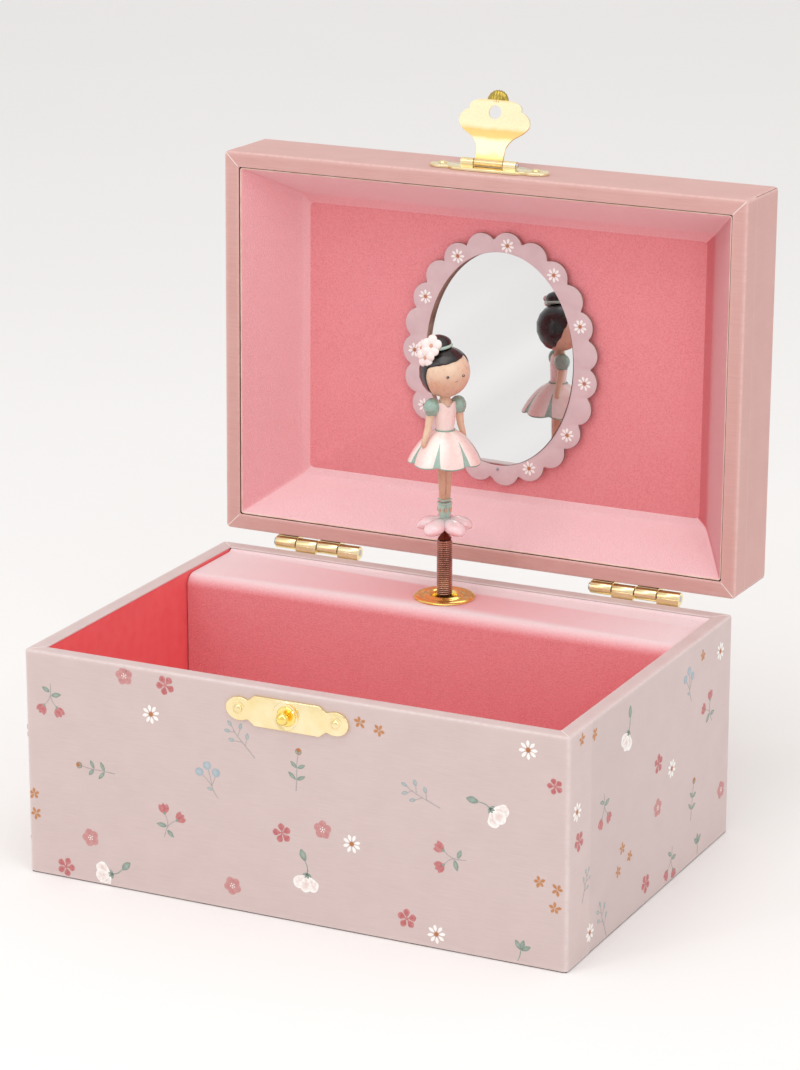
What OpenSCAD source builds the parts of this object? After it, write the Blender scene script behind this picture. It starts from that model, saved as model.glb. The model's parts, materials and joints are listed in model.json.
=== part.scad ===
// Ballerina jewellery box with a wound musical movement.
// Millimetres, +Z up, +Y to the back. The origin is the middle of the underside.
// The box is drawn as it stands open: the lid on its stop, the figure upright.

/* [Case] */
// Width of base and lid over the paper
case_w = 160; // [150:1:170]
// Depth of base and lid over the paper
case_d = 112; // [108:1:120]
// Height of the base from the table to its rim
base_h = 64; // [62:0.5:66]
// Height of the lid alone
lid_h = 23.5; // [23:0.5:28]
// Thickness of the wrapped walls
wall_t = 4.5; // [4:0.5:5]
// Thickness of the printed paper
paper_t = 0.5; // [0.3:0.1:0.6]
// Gap left between the two rims when the lid is shut
rim_gap = 0.3; // [0.2:0.1:0.6]

/* [Lid] */
// Angle between the shut and the open lid
lid_open = 91; // [88:1:95]
// Depth of the flocked liner
liner_depth = 18; // [16:0.5:18]
// Width and height of the liner's flat panel
liner_panel_size = [128.5, 84.6]; // [80:0.5:140]
// Width and height of the mirror frame over its scallops
frame_size = [61, 74]; // [55:1:76]
// Width and height of the mirror that shows
mirror_size = [46, 62]; // [40:1:64]
// Number of scallops round the frame
scallop_count = 23; // [19:1:27]

/* [Hinges] */
// Length of one hinge
hinge_len = 27; // [24:1:30]
// Distance from the middle of the box to the middle of a hinge
hinge_x = 49.9; // [44:0.1:54]
// Distance of the hinge line behind the back face
hinge_back = 2.3; // [2.2:0.1:2.6]
// Height of the hinge line over the base's rim
hinge_rise = 1.4; // [1.2:0.1:1.6]

/* [Clasp] */
// Width of the strike plate and of the hasp plate
clasp_w = 36; // [32:1:40]
// Height of the two clasp plates
clasp_h = 8.4; // [8:0.1:9.4]
// Height of the stud over the table
stud_z = 57.5; // [57:0.1:58]
// Distance from the hasp's pin to its hole
hasp_reach = 14.2; // [13.8:0.1:14.4]
// Angle by which the open hasp leans past upright
hasp_lean = 15; // [5:1:20]

/* [Figure] */
// Distance of the figure's axis behind the middle of the box
figure_y = 38.6; // [38.4:0.1:39]
// Height at which the spring bends as the figure folds down
fold_z = 67.5; // [67:0.1:68]
// Outer diameter of the spring
spring_d = 4.5; // [4:0.1:5]
// Height of the top end of the spring
spring_top = 79.8; // [79:0.1:80.5]
// Largest diameter of the petal base
petal_d = 18.4; // [16:0.2:19]
// Diameter of the skirt's hem
skirt_d = 21; // [18:0.5:22]
// Diameter of the head
head_d = 13.8; // [12:0.2:14]

/* [Movement] */
// Diameter of the pinned cylinder
drum_d = 13; // [12:0.5:13]
// Number of comb teeth
comb_teeth = 18; // [12:1:18]
// Height of the winding arbor
key_z = 20; // [19.5:0.1:20.5]
// Number of teeth on the crown wheel
crown_teeth = 40; // [40:10:40]
// Number of teeth on the cylinder's pinion
pinion_teeth = 10; // [10:1:10]
// Number of teeth on the great wheel
great_teeth = 46; // [46:1:46]
// Number of teeth on the governor wheel
governor_teeth = 24; // [24:1:24]
// Number of leaves on the pinions of the governor and of the fan
leaf_teeth = 8; // [8:1:8]
// Module of the governor train
train_m = 0.4; // [0.4:0.1:0.4]

/* [Hidden] */
$fn = 48;
e = 0.01;                                  // cutting overshoot
board_t = wall_t - paper_t;                // bare board where no lining is glued
lining_t = 1;                              // glued lining card
cored_t = board_t - lining_t;              // board behind a lining
half_w = case_w / 2;
half_d = case_d / 2;
in_w = half_w - wall_t;                    // inner half width at the rim
in_d = half_d - wall_t;                    // inner half depth at the rim
core_w = half_w - paper_t;                 // half width of the bare boards
core_d = half_d - paper_t;
sheet_t = 0.5;                             // underside sheet
floor_z = 4.5;                             // top of the compartment pad
hinge_y = half_d + hinge_back;
hinge_z = base_h + hinge_rise;
lid_z = base_h + rim_gap;                  // rim plane of the shut lid
lid_top = lid_z + lid_h;
panel_t = 0.8;                             // flocked card of the liner
panel_z = lid_z + liner_depth;             // face of the liner's panel when shut
cover_t = 1.5;                             // flocked card over the movement
cover_y = 25;                              // front face of that cover
cover_z = 62.8;                            // top face of that cover
cover_r = 3.5;                             // its rounded front edge
grommet_r = 8.7;
grommet_neck = 5.6;                        // outside of the part that passes through the cover
grommet_hole = 4.3;
eyelet_r = 3.9;                            // outside of the key's eyelet in the back wall
eyelet_hole = 4;
run = 0.05;                                // radial running clearance
knuckle_r = 1.8;
knuckle_gap = 0.3;
knuckle_len = (hinge_len - 3 * knuckle_gap) / 4;
hinge_pin_r = 0.8;
leaf_t = 0.8;
leaf_h = 8.9;
nail_r = 0.45;
nail_head = 1.2;
nail_len = 2.6;
nail_pitch = 9;
clasp_t = 0.8;
clasp_nail_x = 14.3;
clasp_lobe_r = 3.9;                        // rounded ends of the clasp plates
clasp_lobe_h = 6.6;
stud_shank_r = 0.8;
hasp_y = -half_d - 1.9;                    // hasp pin when the lid is shut
hasp_z = stud_z + hasp_reach;
hasp_pin_r = 0.5;
hasp_r = 1.1;
hasp_t = 0.7;
hasp_eye = 8.6;                            // width of the tongue's rolled eye
hasp_tab = 6.4;                            // width of its lifting tab
hasp_hole_r = 1.9;
bed_y = 48.7;                              // front face of the bedplate
bed_t = 2.6;
arbor_r = 2;                               // winding arbor
crown_r = 12;                              // pitch radius of the crown wheel
crown_face = 2;                            // radial length of its teeth
pinion_r = crown_r * pinion_teeth / crown_teeth;
mesh_y = figure_y + pinion_r;              // pitch plane of the crown wheel
tooth_up = 0.5;
tooth_down = 0.65;
great_r = train_m * great_teeth / 2;
leaf_r = train_m * leaf_teeth / 2;
governor_r = train_m * governor_teeth / 2;
governor_x = great_r + leaf_r;
fan_x = governor_x + governor_r + leaf_r;
pivot_r = 0.6;                             // arbors of the governor train
comb_z = 37;                               // lowest comb tooth
comb_pitch = 0.95;
comb_left = -30;
comb_front = 38.6;
comb_t = 1.2;
comb_screw_x = -24.5;
comb_screw_z = [40, 51];
comb_screw_r = 0.9;
shaft_r = 1.5;                             // cylinder's arbor
shaft_tip_r = 1;                           // its foot in the bracket
frame_left = 8.2;                          // governor frame
frame_right = 24;
frame_low = 28.6;
frame_high = 46.2;
screw_r = 1.1;
spring_foot = 64.7;
spigot_z = fold_z - 1.7;                   // top of the spindle inside the spring

// ---- shared shapes -------------------------------------------------------------------------

// a box from its lowest to its highest corner
module span(low, high) { translate(low) cube(high - low); }

// a cylinder along X, Y or Z from a point
module rod_x(p, r, h) { translate(p) rotate([0, 90, 0]) cylinder(r = r, h = h); }
module rod_y(p, r, h) { translate(p) rotate([-90, 0, 0]) cylinder(r = r, h = h); }
module rod_z(p, r, h) { translate(p) cylinder(r = r, h = h); }

// a flat shape drawn in width and height, standing at y and growing towards +Y
module plate_y(y, t) { translate([0, y + t, 0]) rotate([90, 0, 0]) linear_extrude(t) children(); }

// the lid is drawn shut and swung open about the hinge line
module on_lid() {
    translate([0, hinge_y, hinge_z]) rotate([-lid_open, 0, 0])
        translate([0, -hinge_y, -hinge_z]) children();
}

// the hasp is drawn hanging on its stud and swung up about its pin
module on_hasp() {
    on_lid() translate([0, hasp_y, hasp_z]) rotate([-90 - hasp_lean, 0, 0])
        translate([0, -hasp_y, -hasp_z]) children();
}

// a domed nail whose head rests on z = 0 and whose shank goes down
module nail() {
    rotate_extrude() polygon([[0, -nail_len], [nail_r, -nail_len], [nail_r, 0], [nail_head, 0],
        [1.05, 0.35], [0.6, 0.6], [0, 0.68]]);
}
module nail_back(p) { translate(p) rotate([-90, 0, 0]) nail(); }
module nail_front(p) { translate(p) rotate([90, 0, 0]) nail(); }

// places of the nails: in the base's leaves, the lid's leaves and the two clasp plates
base_leaf_nails = [for (s = [-1, 1], k = [-1, 0, 1]) [s * hinge_x + k * nail_pitch,
    half_d + leaf_t, hinge_z - 8]];
lid_leaf_nails = [for (s = [-1, 1], k = [-1, 0, 1]) [s * hinge_x + k * nail_pitch,
    half_d + leaf_t, hinge_z + 8]];
strike_nail_places = [for (s = [-1, 1]) [s * clasp_nail_x, -half_d - clasp_t, stud_z]];
hasp_nail_places = [for (s = [-1, 1]) [s * clasp_nail_x, -half_d - clasp_t, hasp_z]];
module back_shanks(places) {
    for (p = places) rod_y([p[0], p[1] - nail_len, p[2]], nail_r, nail_len + 1);
}
module front_shanks(places) {
    for (p = places) rod_y([p[0], p[1] - 1, p[2]], nail_r, nail_len + 1);
}

// screws through the back wall into the bedplate
bed_screws = [[-26, 13], [21, 13], [21, 53]];
module bed_holes(r) { for (p = bed_screws) rod_y([p[0], bed_y - 1, p[1]], r, 10); }

// a spur wheel's outline: n straight-sided teeth, the first one on +X
module wheel_2d(r, n, up, down, thick) {
    pitch = 2 * PI * r / n;
    circle(r = r - down);
    for (i = [0 : n - 1]) rotate(i * 360 / n)
        polygon([[r - down - 0.1, -pitch * thick * 0.62], [r + up, -pitch * thick * 0.26],
            [r + up, pitch * thick * 0.26], [r - down - 0.1, pitch * thick * 0.62]]);
}
module train_wheel(r, n, z, h, turn) {
    translate([0, 0, z]) rotate(turn) linear_extrude(h) wheel_2d(r, n, 0.32, 0.45, 0.44);
}

// ---- base: boards, paper and linings ------------------------------------------------------

module front_board() {
    color("tan") difference() {
        span([-core_w, -core_d, sheet_t], [core_w, -core_d + cored_t, base_h - paper_t]);
        front_shanks(strike_nail_places);
        rod_y([0, -half_d - 1, stud_z], stud_shank_r, 4);
    }
}
module back_board() {
    color("tan") difference() {
        span([-core_w, core_d - board_t, sheet_t], [core_w, core_d, base_h - paper_t]);
        back_shanks(base_leaf_nails);
        rod_y([0, in_d - 1, key_z], eyelet_hole, 10);
        bed_holes(screw_r);
    }
}
module side_board(s) {
    x = s * (core_w - cored_t / 2);
    span([x - cored_t / 2, -core_d + cored_t, sheet_t],
        [x + cored_t / 2, core_d - board_t, base_h - paper_t]);
}
module left_board() { color("tan") side_board(-1); }
module right_board() { color("tan") side_board(1); }
module floor_board() {
    color("tan") span([-core_w + cored_t, -core_d + cored_t, sheet_t],
        [core_w - cored_t, core_d - board_t, floor_z - lining_t]);
}
module underside_sheet() {
    color("dimgray") span([-core_w, -core_d, 0], [core_w, core_d, sheet_t]);
}

// the paper covers the walls outside and folds over the rim
module base_wrap() {
    color("rosybrown") difference() {
        span([-half_w, -half_d, sheet_t / 2], [half_w, half_d, base_h]);
        span([-core_w, -core_d, -1], [core_w, core_d, base_h - paper_t]);
        span([-in_w, -in_d, 0], [in_w, in_d, base_h + 1]);
        back_shanks(base_leaf_nails);
        front_shanks(strike_nail_places);
        rod_y([0, -half_d - 1, stud_z], stud_shank_r, 4);
        rod_y([0, in_d - 1, key_z], eyelet_hole, 10);
        bed_holes(screw_r);
    }
}
module front_lining() {
    color("lightcoral") span([-in_w, -in_d - lining_t, floor_z - lining_t],
        [in_w, -in_d, base_h - paper_t]);
}
module side_lining(s) {
    x = s * (in_w + lining_t / 2);
    span([x - lining_t / 2, -in_d - lining_t, floor_z - lining_t],
        [x + lining_t / 2, in_d, base_h - paper_t]);
}
module left_lining() { color("tomato") side_lining(-1); }
module right_lining() { color("tomato") side_lining(1); }
module compartment_pad() {
    color("lightpink") span([-in_w, -in_d, floor_z - lining_t], [in_w, cover_y, floor_z]);
}

// ---- base: cover over the movement and the figure's grommet ---------------------------------

cover_half = in_w - 0.2;
module cover_outline() {
    translate([cover_y + cover_r, cover_z - cover_r]) circle(r = cover_r);
    translate([cover_y, floor_z]) square([20, cover_z - cover_r - floor_z]);
    translate([cover_y + cover_r, floor_z]) square([in_d - cover_y - cover_r, cover_z - floor_z]);
}
module cover_inside() {
    r = cover_r - cover_t;
    translate([cover_y + cover_r, cover_z - cover_r]) circle(r = r);
    translate([cover_y + cover_t, floor_z - 1]) square([20, cover_z - cover_r - floor_z + 1]);
    translate([cover_y + cover_r, floor_z - 1])
        square([in_d - cover_y, cover_z - cover_t - floor_z + 1]);
}
module mechanism_cover() {
    color("pink") difference() {
        translate([-cover_half, 0, 0]) rotate([90, 0, 90]) linear_extrude(2 * cover_half)
            difference() { cover_outline(); cover_inside(); }
        rod_z([0, figure_y, cover_z - 5], grommet_neck, 10);
    }
}
module cover_cleats() {
    color("burlywood") for (s = [-1, 1]) {
        x = s * (in_w - 4);
        span([x - 3.5, cover_y + cover_t + 2.5, floor_z - lining_t],
            [x + 3.5, in_d - 0.5, cover_z - cover_t]);
    }
}
module grommet() {
    color("gold") translate([0, figure_y, cover_z]) rotate_extrude()
        polygon([[grommet_hole, -2.6], [grommet_neck, -2.6], [grommet_neck, 0], [grommet_r, 0], [8.4, 0.5],
            [7.2, 1], [6, 1.2], [5.1, 1.1], [4.5, 0.6], [grommet_hole, 0]]);
}

// ---- base: clasp half and hinges --------------------------------------------------------------

module clasp_outline() {
    square([19, clasp_h], center = true);
    square([clasp_w - 2 * clasp_lobe_r, clasp_lobe_h - 1.6], center = true);
    for (s = [-1, 1]) translate([s * (clasp_w / 2 - clasp_lobe_r), 0])
        polygon(oval([2 * clasp_lobe_r, clasp_lobe_h], 32));
}
module strike_plate() {
    color("gold") difference() {
        union() {
            plate_y(-half_d - clasp_t, clasp_t) translate([0, stud_z]) clasp_outline();
            rod_y([0, -half_d - clasp_t - 0.3, stud_z], 3.2, 0.6);
        }
        front_shanks(strike_nail_places);
        rod_y([0, -half_d - 3, stud_z], stud_shank_r, 6);
    }
}
module strike_stud() {
    color("gold") translate([0, -half_d, stud_z]) rotate([90, 0, 0]) {
        translate([0, 0, -2.5]) cylinder(r = stud_shank_r, h = 4.5);
        translate([0, 0, 1.1]) cylinder(r = 1.1, h = 1.2);
        translate([0, 0, 2.9]) sphere(r = 1.65);
    }
}
module strike_nails() { color("gold") for (p = strike_nail_places) nail_front(p); }

// knuckles 0 and 2 belong to the lid, 1 and 3 to the base, counted from the left
function knuckle_x(s, i) = s * hinge_x - hinge_len / 2 + i * (knuckle_len + knuckle_gap);
module hinge_half(s, first, dir, bore_r) {
    difference() {
        union() {
            for (i = [first, first + 2]) {
                rod_x([knuckle_x(s, i), hinge_y, hinge_z], knuckle_r, knuckle_len);
                z = hinge_z + dir * 2;
                span([knuckle_x(s, i), half_d + 0.35, z - 2],
                    [knuckle_x(s, i) + knuckle_len, half_d + 1.6, z + 2]);
            }
            z = hinge_z + dir * (3 + leaf_h / 2);
            span([s * hinge_x - hinge_len / 2, half_d, z - leaf_h / 2],
                [s * hinge_x + hinge_len / 2, half_d + leaf_t, z + leaf_h / 2]);
        }
        rod_x([s * hinge_x - hinge_len, hinge_y, hinge_z], bore_r, 2 * hinge_len);
        back_shanks(dir < 0 ? base_leaf_nails : lid_leaf_nails);
    }
}
module base_hinge_leaves() {
    color("gold") for (s = [-1, 1]) hinge_half(s, 1, -1, hinge_pin_r);
}
module hinge_pins() {
    color("gold") for (s = [-1, 1]) {
        x = s * hinge_x - hinge_len / 2;
        rod_x([x - 0.5, hinge_y, hinge_z], hinge_pin_r, hinge_len + 0.5);
        rod_x([x - 0.6, hinge_y, hinge_z], 1.1, 0.4);
    }
}
module base_hinge_nails() { color("gold") for (p = base_leaf_nails) nail_back(p); }

// ---- movement: frame ----------------------------------------------------------------------------

module bedplate() {
    color("silver") difference() {
        span([-32, bed_y, 8], [26, bed_y + bed_t, 58]);
        rod_y([0, bed_y - 1, key_z], arbor_r + run, 5);
        bed_holes(screw_r);
    }
}
module bedplate_screws() {
    color("lightgray") for (p = bed_screws) {
        difference() {
            rod_y([p[0], half_d, p[1]], 2.2, 1.2);
            span([p[0] - 3, half_d + 0.7, p[1] - 0.3], [p[0] + 3, half_d + 2, p[1] + 0.3]);
        }
        rod_y([p[0], bed_y, p[1]], screw_r, half_d - bed_y);
    }
}
module foot_bracket() {
    color("silver") difference() {
        union() {
            span([-13, 36.4, 29.4], [-11, bed_y, 30.6]);
            span([-13, 36.4, 29.4], [3.6, 40.5, 30.6]);
        }
        rod_z([0, figure_y, 29], shaft_tip_r + run, 3);
    }
}
module top_bracket() {
    color("silver") difference() {
        span([-6, 34, 56], [6, bed_y, 57.4]);
        rod_z([0, figure_y, 55], shaft_r + run, 4);
    }
}
module comb_stand() {
    color("silver") difference() {
        span([comb_left, comb_front + comb_t, 36], [-19, bed_y, 55]);
        for (z = comb_screw_z) rod_y([comb_screw_x, 39, z], comb_screw_r, 5);
    }
}
module comb() {
    color("gray") difference() {
        span([comb_left, comb_front, comb_z - 0.4],
            [-drum_d / 2 - 0.7, comb_front + comb_t, comb_z + 17.4]);
        for (i = [1 : comb_teeth - 1])
            span([-17, 38, comb_z - 0.55 + i * comb_pitch],
                [-drum_d / 2, 40, comb_z - 0.3 + i * comb_pitch]);
        for (z = comb_screw_z) rod_y([comb_screw_x, 38, z], comb_screw_r, 3);
    }
}
module comb_screws() {
    color("lightgray") for (z = comb_screw_z) {
        rod_y([comb_screw_x, comb_front - 1, z], 1.9, 1);
        rod_y([comb_screw_x, comb_front - 0.1, z], comb_screw_r, 5);
    }
}
module governor_frame() {
    color("silver") difference() {
        union() {
            span([frame_left, 33.6, frame_low], [frame_right, 40.6, frame_low + 1.2]);
            span([frame_left, 33.6, frame_high - 1.2], [frame_right, 40.6, frame_high]);
            span([frame_right - 1.2, 33.6, frame_low], [frame_right, bed_y, frame_high]);
        }
        for (x = [governor_x, fan_x]) rod_z([x, figure_y, 28], pivot_r + run, 20);
    }
}
module key_eyelet() {
    color("gold") difference() {
        union() {
            rod_y([0, half_d, key_z], 6, 0.7);
            rod_y([0, half_d - 3, key_z], eyelet_r, 3.2);
        }
        rod_y([0, half_d - 4, key_z], 3, 6);
    }
}

// ---- lid ------------------------------------------------------------------------------------------

lid_core_z = lid_z + paper_t;
lid_core_top = lid_top - paper_t;
lid_board = 3;
module lid_top_board() {
    color("tan") on_lid()
        span([-core_w, -core_d, lid_core_top - lid_board], [core_w, core_d, lid_core_top]);
}
module lid_front_board() {
    color("tan") on_lid() difference() {
        span([-core_w, -core_d, lid_core_z], [core_w, -in_d, lid_core_top - lid_board]);
        front_shanks(hasp_nail_places);
    }
}
module lid_back_board() {
    color("tan") on_lid() difference() {
        span([-core_w, in_d, lid_core_z], [core_w, core_d, lid_core_top - lid_board]);
        back_shanks(lid_leaf_nails);
    }
}
module lid_side_board(s) {
    x = s * (core_w - board_t / 2);
    span([x - board_t / 2, -in_d, lid_core_z], [x + board_t / 2, in_d, lid_core_top - lid_board]);
}
module lid_left_board() { color("tan") on_lid() lid_side_board(-1); }
module lid_right_board() { color("tan") on_lid() lid_side_board(1); }
module lid_wrap() {
    color("rosybrown") on_lid() difference() {
        span([-half_w, -half_d, lid_z], [half_w, half_d, lid_top]);
        span([-core_w, -core_d, lid_core_z], [core_w, core_d, lid_core_top]);
        span([-in_w, -in_d, lid_z - 1], [in_w, in_d, lid_core_z + 1]);
        back_shanks(lid_leaf_nails);
        front_shanks(hasp_nail_places);
    }
}

// the liner narrows from the rim to its flat panel
liner_gap = 0.3;
liner_lip = 0.6;                           // step back from the rim
liner_mouth = [2 * (in_w - liner_gap), 2 * (in_d - liner_gap)];
module liner_cone(grow) {
    mouth = (liner_mouth + [grow, grow]) / 2;
    panel = (liner_panel_size + [grow, grow]) / 2;
    corners = [[-1, -1], [1, -1], [1, 1], [-1, 1]];
    polyhedron(
        points = [for (half = [mouth, panel], c = corners)
            [c[0] * half[0], c[1] * half[1], half == mouth ? 0 : liner_depth - liner_lip]],
        faces = [[0, 1, 2, 3], [7, 6, 5, 4], [0, 4, 5, 1], [1, 5, 6, 2], [2, 6, 7, 3],
            [3, 7, 4, 0]]);
}
module liner_sides() {
    color("hotpink") on_lid() translate([0, 0, lid_z + liner_lip]) difference() {
        liner_cone(0);
        translate([0, 0, -e]) liner_cone(-2 * panel_t);
        translate([0, 0, liner_depth - liner_lip - e])
            cube([liner_panel_size[0] - 2 * panel_t, liner_panel_size[1] - 2 * panel_t, 1],
                center = true);
    }
}
module liner_panel() {
    color("hotpink") on_lid()
        span([-liner_panel_size[0] / 2, -liner_panel_size[1] / 2, panel_z],
            [liner_panel_size[0] / 2, liner_panel_size[1] / 2, lid_core_top - lid_board]);
}

// ---- lid: mirror -----------------------------------------------------------------------------------

frame_t = 2;
glass_t = 0.8;
scallop_r = 4.7;
scallop_shift = -0.25;                     // first scallop's distance from the foot, in scallops
function oval(size, n = 96) = [for (i = [0 : n - 1])
    [size[0] / 2 * cos(i * 360 / n), size[1] / 2 * sin(i * 360 / n)]];
// an even step along an oval, from an even step in angle
function even_angle(a, size) = a - 28.6 * (size[1] * size[1] - size[0] * size[0])
    / (size[1] * size[1] + size[0] * size[0]) * sin(2 * a) * 0.5;
module scalloped_oval() {
    ring = [frame_size[0] - 2 * scallop_r, frame_size[1] - 2 * scallop_r];
    polygon(oval(ring));
    for (i = [0 : scallop_count - 1]) {
        a = even_angle(90 + (i + scallop_shift) * 360 / scallop_count, ring);
        translate([ring[0] / 2 * cos(a), ring[1] / 2 * sin(a)]) circle(r = scallop_r);
    }
}
module mirror_frame() {
    color("thistle") on_lid() translate([0, 0, panel_z - frame_t]) difference() {
        linear_extrude(frame_t) scalloped_oval();
        translate([0, 0, -1]) linear_extrude(frame_t + 2) polygon(oval(mirror_size));
        translate([0, 0, frame_t - glass_t]) linear_extrude(glass_t + 1)
            polygon(oval([mirror_size[0] + 4, mirror_size[1] + 4]));
    }
}
module mirror_glass() {
    color("lightblue") on_lid() translate([0, 0, panel_z - glass_t]) linear_extrude(glass_t)
        polygon(oval([mirror_size[0] + 3.6, mirror_size[1] + 3.6]));
}

// ---- lid: hinges and hasp ---------------------------------------------------------------------------

module lid_hinge_leaves() {
    color("gold") on_lid() for (s = [-1, 1]) hinge_half(s, 0, 1, hinge_pin_r + run);
}
module lid_hinge_nails() { color("gold") on_lid() for (p = lid_leaf_nails) nail_back(p); }
module hasp_plate() {
    color("gold") on_lid() difference() {
        union() {
            plate_y(-half_d - clasp_t, clasp_t) translate([0, hasp_z]) clasp_outline();
            for (x = [-8.4, 4.6]) {
                rod_x([x, hasp_y, hasp_z], hasp_r, 3.8);
                span([x, hasp_y, hasp_z - 0.9], [x + 3.8, -half_d - clasp_t / 2, hasp_z + 0.9]);
            }
        }
        rod_x([-10, hasp_y, hasp_z], hasp_pin_r, 20);
        front_shanks(hasp_nail_places);
    }
}
module hasp_nails() { color("gold") on_lid() for (p = hasp_nail_places) nail_front(p); }
module hasp_pin() { color("gold") on_lid() rod_x([-8.8, hasp_y, hasp_z], hasp_pin_r, 17.6); }

// shell-shaped tongue, drawn hanging from the pin at the origin
module tongue_outline() {
    translate([0, -5]) square([hasp_eye, 10], center = true);
    polygon([[-hasp_eye / 2, -4], [hasp_eye / 2, -4], [7.5, -9.5], [0, -14], [-7.5, -9.5]]);
    for (s = [-1, 1]) {
        translate([s * 6.9, -11.7]) circle(r = 4.2);
        translate([s * 4.4, -14.8]) circle(r = 3.3);
    }
    translate([0, -14.4]) circle(r = 4);
    translate([-hasp_tab / 2, -18.9]) square([hasp_tab, 4]);
}
module hasp_tongue() {
    color("gold") on_hasp() difference() {
        union() {
            plate_y(hasp_y - hasp_t / 2, hasp_t) translate([0, hasp_z]) tongue_outline();
            rod_x([-hasp_eye / 2, hasp_y, hasp_z], hasp_r, hasp_eye);
            rod_x([-hasp_tab / 2, hasp_y - 1.05, hasp_z - 19.2], 1.4, hasp_tab);
        }
        rod_x([-10, hasp_y, hasp_z], hasp_pin_r + run, 20);
        rod_y([0, hasp_y - 2, hasp_z - hasp_reach], hasp_hole_r, 4);
    }
}

// ---- winding key, barrel and mainspring ---------------------------------------------------------------

module winding_key() {
    color("gold") difference() {
        union() {
            rod_y([0, 57.5, key_z], 3, 5);
            translate([0, 0, key_z - 0.8]) linear_extrude(1.6) difference() {
                union() {
                    for (s = [-1, 1]) translate([s * 5.4, 67]) circle(r = 5.2);
                    translate([-3, 60]) square([6, 8]);
                }
                for (s = [-1, 1]) translate([s * 5.8, 67]) circle(r = 2.3);
            }
        }
        rod_y([0, 57, key_z], arbor_r, 4.5);
    }
}
module winding_arbor() { color("silver") rod_y([0, 28, key_z], arbor_r, 33.5); }
barrel_front = 30;
barrel_r = 9;
crown_root = mesh_y + tooth_down;
module spring_barrel() {
    color("silver") difference() {
        rod_y([0, barrel_front, key_z], barrel_r, crown_root - barrel_front);
        rod_y([0, barrel_front - 1, key_z], barrel_r - 1, crown_root - barrel_front);
        rod_y([0, barrel_front - 1, key_z], arbor_r + run, 30);
    }
}
module barrel_cap() {
    color("silver") difference() {
        rod_y([0, barrel_front - 1, key_z], barrel_r, 1);
        rod_y([0, barrel_front - 2, key_z], arbor_r + run, 3);
    }
}
module crown_wheel() {
    step = 360 / crown_teeth;
    color("goldenrod") difference() {
        union() {
            rod_y([0, crown_root, key_z], crown_r + crown_face / 2, 2);
            translate([0, crown_root, key_z]) rotate([90, 0, 0]) for (i = [0 : crown_teeth - 1])
                rotate(i * step) translate([crown_r - crown_face / 2, 0, 0])
                    rotate([90, 0, 90]) linear_extrude(crown_face - 0.02)
                        polygon([[-0.5, -0.1], [-0.22, tooth_up + tooth_down],
                            [0.22, tooth_up + tooth_down], [0.5, -0.1]]);
        }
        rod_y([0, crown_root - 1, key_z], arbor_r + run, 5);
    }
}
// flat spiral ribbon between the arbor and the barrel's wall
spiral_turns = 5;
function spiral(r0, a) = (r0 + 0.95 * a / 360) * [cos(a), sin(a)];
module mainspring() {
    steps = [0 : 15 : 360 * spiral_turns];
    back_steps = [360 * spiral_turns : -15 : 0];
    color("steelblue") translate([0, barrel_front + 1, key_z]) rotate([-90, 0, 0])
        linear_extrude(9)
            polygon(concat([for (a = steps) spiral(2.6, a)], [for (a = back_steps) spiral(2.9, a)]));
}

// ---- pinned cylinder and governor train ---------------------------------------------------------------

pin_count = 54;
module music_cylinder() {
    color("goldenrod") translate([0, figure_y, 0]) difference() {
        union() {
            translate([0, 0, 36.2]) cylinder(d = drum_d, h = 18.6);
            for (i = [0 : pin_count - 1])
                translate([0, 0, comb_z + 0.1 + (i * 7 % comb_teeth) * comb_pitch])
                    rotate(360 / pin_count * i + 4) rotate([0, 90, 0])
                        cylinder(r = 0.2, h = drum_d / 2 + 0.45);
        }
        translate([0, 0, 37.4]) cylinder(d = drum_d - 2, h = 20);
        cylinder(r = shaft_r, h = 60);
    }
}
module cylinder_arbor() {
    color("silver") translate([0, figure_y, 0]) rotate_extrude()
        polygon([[0, 29.5], [shaft_tip_r, 29.5], [shaft_tip_r, 30.9], [shaft_r, 30.9],
            [shaft_r, 57.8], [3, 57.8], [3, spring_foot - 0.5], [1.4, spring_foot - 0.1],
            [1.4, spigot_z], [0, spigot_z]]);
}
module cylinder_pinion() {
    z = key_z + crown_r;
    color("goldenrod") translate([0, figure_y, z - 1]) difference() {
        linear_extrude(2) wheel_2d(pinion_r, pinion_teeth, tooth_up, tooth_down, 0.4);
        translate([0, 0, -1]) cylinder(r = shaft_r, h = 4);
    }
}
module great_wheel() {
    color("goldenrod") translate([0, figure_y, 0]) difference() {
        train_wheel(great_r, great_teeth, 34, 1.2, 0);
        cylinder(r = shaft_r, h = 60);
    }
}
module governor_wheel() {
    color("goldenrod") translate([governor_x, figure_y, 0]) {
        translate([0, 0, 28.8]) cylinder(r = pivot_r, h = 17.2);
        train_wheel(governor_r, governor_teeth, 31.8, 1.3, 0);
        train_wheel(leaf_r, leaf_teeth, 33.1, 2.5, 180 / leaf_teeth);
    }
}
module governor_fan() {
    color("goldenrod") translate([fan_x, figure_y, 0]) {
        translate([0, 0, 28.8]) cylinder(r = pivot_r, h = 17.2);
        train_wheel(leaf_r, leaf_teeth, 31.4, 2.1, 180 / leaf_teeth);
        translate([-4.4, -0.3, 37]) cube([8.8, 0.6, 6.5]);
        translate([-0.3, -4.4, 37]) cube([0.6, 8.8, 6.5]);
    }
}

// ---- figure ----------------------------------------------------------------------------------------------

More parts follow.
